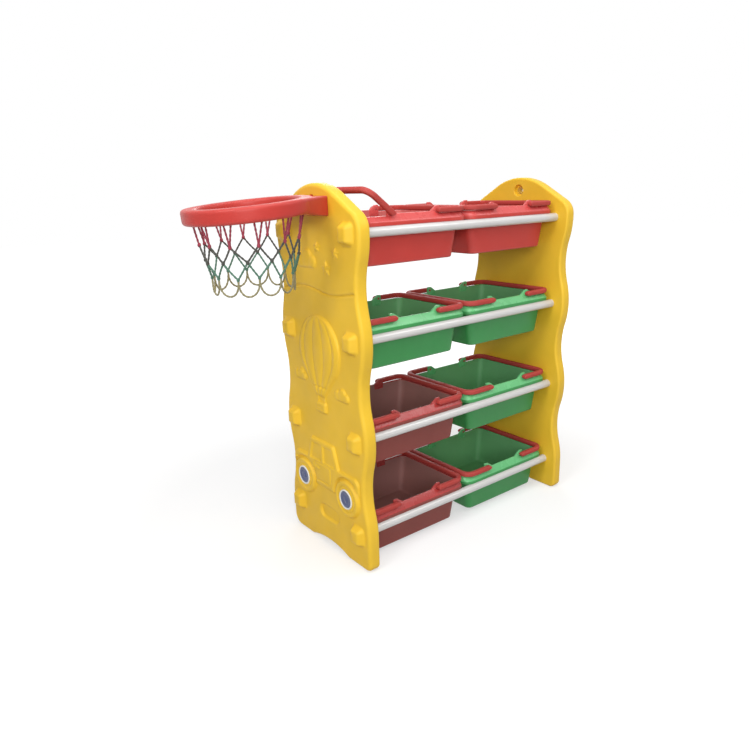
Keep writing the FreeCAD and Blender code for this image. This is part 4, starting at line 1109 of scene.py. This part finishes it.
# The paler edge colours below are rubbed wear and painted highlight; the green one is mostly the painted
# highlight of its rim.
MATERIALS = {
    "panel_yellow": [plastic("yellow panel plastic", YELLOW, 0.42, edge=0.2, worn_and_highlight=(0.92, 0.68, 0.16))],
    "hub_white": [plastic("white hub plastic", (0.80, 0.80, 0.78), 0.35)],
    "hub_blue": [plastic("blue hub plastic", (0.055, 0.075, 0.19), 0.25, coat=0.3)],
    "plug_grey": [plastic("grey plug plastic", (0.24, 0.24, 0.25), 0.5)],
    "tube_white": [coated_steel("white tube coat", (0.62, 0.61, 0.60))],
    "hoop_red": [plastic("red hoop plastic", scaled(RED, 0.92), 0.36)],
    "nut_white": [plastic("white nut plastic", (0.78, 0.78, 0.76), 0.4)],
    "bin_red": [plastic("red bin plastic", RED, 0.34, edge=0.3)],
    "bin_green": [plastic("green bin plastic", GREEN, 0.34, edge=0.35, worn_and_highlight=(0.30, 0.62, 0.36), shine=0.34)],
    "bin_maroon": [plastic("maroon bin plastic", MAROON, 0.34, edge=0.35, worn_and_highlight=(0.55, 0.07, 0.06))],
    "handle_red": [plastic("red handle plastic", (0.44, 0.048, 0.040), 0.55, edge=0.15, shine=0.15)],
    "net_cord": [cord_fibre("crimson net cord", (0.32, 0.03, 0.06)),
                 cord_fibre("dark net cord", (0.05, 0.052, 0.042)),
                 cord_fibre("green net cord", (0.07, 0.18, 0.12)),
                 cord_fibre("olive net cord", (0.26, 0.23, 0.11))],
}
# Insides get a paler colour, painted light in the hollow of each bin, and rims a paler, glossier colour, a
# painted highlight of top light on them.
for slot, lit, pale in (("bin_red", (0.54, 0.135, 0.124), (0.62, 0.075, 0.07)),
                            ("bin_green", (0.155, 0.41, 0.18), (0.13, 0.50, 0.19)),
                            ("bin_maroon", (0.33, 0.16, 0.145), (0.42, 0.045, 0.042))):
    name = slot.replace("_", " ")
    MATERIALS[slot] += [plastic(name + " scuffed inside", lit, 0.5, edge=0.15),
                        plastic(name + " highlight rim", pale, 0.26, edge=0.1, shine=0.4)]


# Pieces
SLOTS = {row["node"]: row["material_slot"] for row in frame["record"]["subparts"]}
panel = panel_shape()
hub_rims, hub_discs = hub_shapes()
for side in SIDES:
    place = to_side(side)
    obj = make_object(side + "_panel_moulding", panel, MATERIALS["panel_yellow"], place, PANEL_SHARP_ANGLE)
    cutter = make_object("cutter", hole_cutter(), [], place)
    add_boolean(obj, cutter, "DIFFERENCE")
    bake_modifiers(obj, PANEL_SHARP_ANGLE)
    crisp_flats(obj.data)
    bpy.data.objects.remove(cutter)
    place_piece(obj, side + "_panel")
    add_piece(side + "_hub_ring_pair", side + "_hub_rims", hub_rims, place)
    add_piece(side + "_hub_disc_pair", side + "_hub_discs", hub_discs, place)
    repaint(frame["nodes"][side + "_tube_end_plugs"], "plug_grey")

left_end, right_end = MIDDLE_X - TUBE_HALF_LENGTH, MIDDLE_X + TUBE_HALF_LENGTH
bore = TUBE_RADIUS - TUBE_WALL
tube_profile = [(left_end, bore), (left_end, TUBE_RADIUS), (MIDDLE_X, TUBE_RADIUS), (right_end, TUBE_RADIUS),
                (right_end, bore)]
for tier, height in zip(TIERS, TIER_HEIGHTS):
    for row, sign in (("front", -1), ("rear", 1)):
        axis = (sign * TUBE_HALF_SPACING, height)
        tube = Shape(*lathe(tube_profile, axis, ROUND_SEGMENTS, ring=True))
        add_piece(f"{row}_rail_{tier}", f"{row}_tube_{tier}", tube)

names = ("hoop_moulding", "bracket", "peg")
hoop, bracket, peg = [make_object(*both, MATERIALS["hoop_red"]) for both in zip(names, hoop_shapes())]
opening = make_object("opening", hoop_opening(), [])
add_boolean(bracket, opening, "DIFFERENCE")
bake_modifiers(bracket)
for other in (bracket, peg):
    add_boolean(hoop, other, "UNION")
remesh = hoop.modifiers.new("remesh", "REMESH")
remesh.mode = "VOXEL"
remesh.voxel_size = HOOP_VOXEL * MM
soften = hoop.modifiers.new("soften", "SMOOTH")
soften.factor, soften.iterations = HOOP_SOFTENING
bake_modifiers(hoop, HOOP_SHARP_ANGLE)
for helper in (bracket, peg, opening):
    bpy.data.objects.remove(helper)
repaint(hoop, "hoop_red")
place_piece(hoop, "hoop_ring")
add_piece("hoop_round_nut", "hoop_nut", nut_shape())
add_piece("hoop_net_cords", "hoop_net", net_shape(), sharp_angle=NET_SHARP_ANGLE)

bin_base = bin_shape()
handle_base = handle_shape()
for tier, height in zip(TIERS, TIER_HEIGHTS):
    for side in SIDES:
        name = f"{tier}_{side}_bin"
        centre = np.array([bin_middle(side), 0.0, height])
        add_piece(name + "_tub", name, bin_base, lambda points: points + centre, body=name)
        for end in SIDES:
            handle = f"{name}_{end}_handle"
            place = handle_place(tier, side, end)
            add_piece(f"{name}_{end}_bail", handle, handle_base, place, body=handle)


# Floor, light and camera, in metres
FLOOR_HALF = 12.0
FLOOR_DROP = 0.0005
FLOOR_GREY = (0.5, 0.5, 0.5, 1.0)
NEAR_FLOOR = 0.7
FAR_FLOOR = 2.4
NEAR_GLOW = 0.52
AMBIENT = 0.165
# Each lamp's name, place, target, size and power in watts
LAMPS = (("front", (-1.9, -2.65, 1.55), (0.1, 0.0, 0.45), 1.6, 56.0),
         ("left", (-2.2, -0.7, 2.45), (-0.25, 0.0, 0.45), 1.0, 28.0),
         ("right", (1.9, -1.75, 2.5), (0.15, 0.0, 0.45), 1.2, 16.0),
         ("crown", (-0.35, -1.35, 3.0), (0.05, -0.05, 0.45), 1.6, 22.0),
         ("top", (0.0, 0.1, 3.2), (0.05, 0.0, 0.4), 2.0, 28.0),
         ("rear", (2.3, 2.7, 1.9), (0.1, 0.0, 0.45), 1.8, 26.0))
CAMERA_PLACE = (-1.02726, -1.26012, 0.89045)
CAMERA_YAW = radians(37.394)
CAMERA_PITCH = radians(16.239)
CAMERA_ROLL = radians(-1.734)
CAMERA_LENS = 31.167


def camera_white(tree):
    """A value of 1 for what the camera sees, also by reflection or through glass, and 0 for light."""
    path = tree.nodes.new("ShaderNodeLightPath")
    total = path.outputs["Is Camera Ray"]
    for name in ("Is Glossy Ray", "Is Transmission Ray"):
        total = combine(tree, "MAXIMUM", total, path.outputs[name])
    return total


floor_mesh = bpy.data.meshes.new("floor")
floor_corners = [(x * FLOOR_HALF, y * FLOOR_HALF, 0) for x, y in ((-1, -1), (1, -1), (1, 1), (-1, 1))]
floor_mesh.from_pydata(floor_corners, [], [(0, 1, 2, 3)])
floor = new_object("floor", floor_mesh)
floor.location.z = -FLOOR_DROP
floor_material = bpy.data.materials.new("pale floor")
floor_material.use_nodes = True
tree = floor_material.node_tree
tree.nodes.clear()
away = add_node(tree, "VectorMath", {0: tree.nodes.new("ShaderNodeTexCoord").outputs["Object"]})
away.operation = "LENGTH"
spread = span(tree, away.outputs["Value"], NEAR_FLOOR, FAR_FLOOR, NEAR_GLOW, 1.0)
glow = add_node(tree, "Emission", {"Strength": combine(tree, "MULTIPLY", camera_white(tree), spread)})
diffuse = add_node(tree, "BsdfDiffuse", {"Color": FLOOR_GREY})
both = add_node(tree, "AddShader", {0: diffuse.outputs["BSDF"], 1: glow.outputs["Emission"]})
add_node(tree, "OutputMaterial", {"Surface": both.outputs["Shader"]})
floor_mesh.materials.append(floor_material)

world = bpy.data.worlds.new("white room")
scene.world = world
world.use_nodes = True
tree = world.node_tree
level = span(tree, camera_white(tree), 0.0, 1.0, AMBIENT, 1.0)
feed(tree, tree.nodes["Background"], {"Color": (1.0, 1.0, 1.0, 1.0), "Strength": level})

for name, place, target, size, power in LAMPS:
    light = bpy.data.lights.new(name, "AREA")
    light.shape = "DISK"
    light.size = size
    light.energy = power
    lamp = new_object(name, light)
    lamp.location = place
    lamp.rotation_euler = (Vector(target) - Vector(place)).to_track_quat("-Z", "Y").to_euler()

camera = new_object("camera", bpy.data.cameras.new("camera"))
camera.data.lens = CAMERA_LENS
yaw = Matrix.Rotation(-CAMERA_YAW, 4, "Z")
pitch = Matrix.Rotation(pi / 2 - CAMERA_PITCH, 4, "X")
roll = Matrix.Rotation(CAMERA_ROLL, 4, "Z")
camera.matrix_world = Matrix.Translation(CAMERA_PLACE) @ yaw @ pitch @ roll
scene.camera = camera
scene.view_settings.view_transform = "Standard"
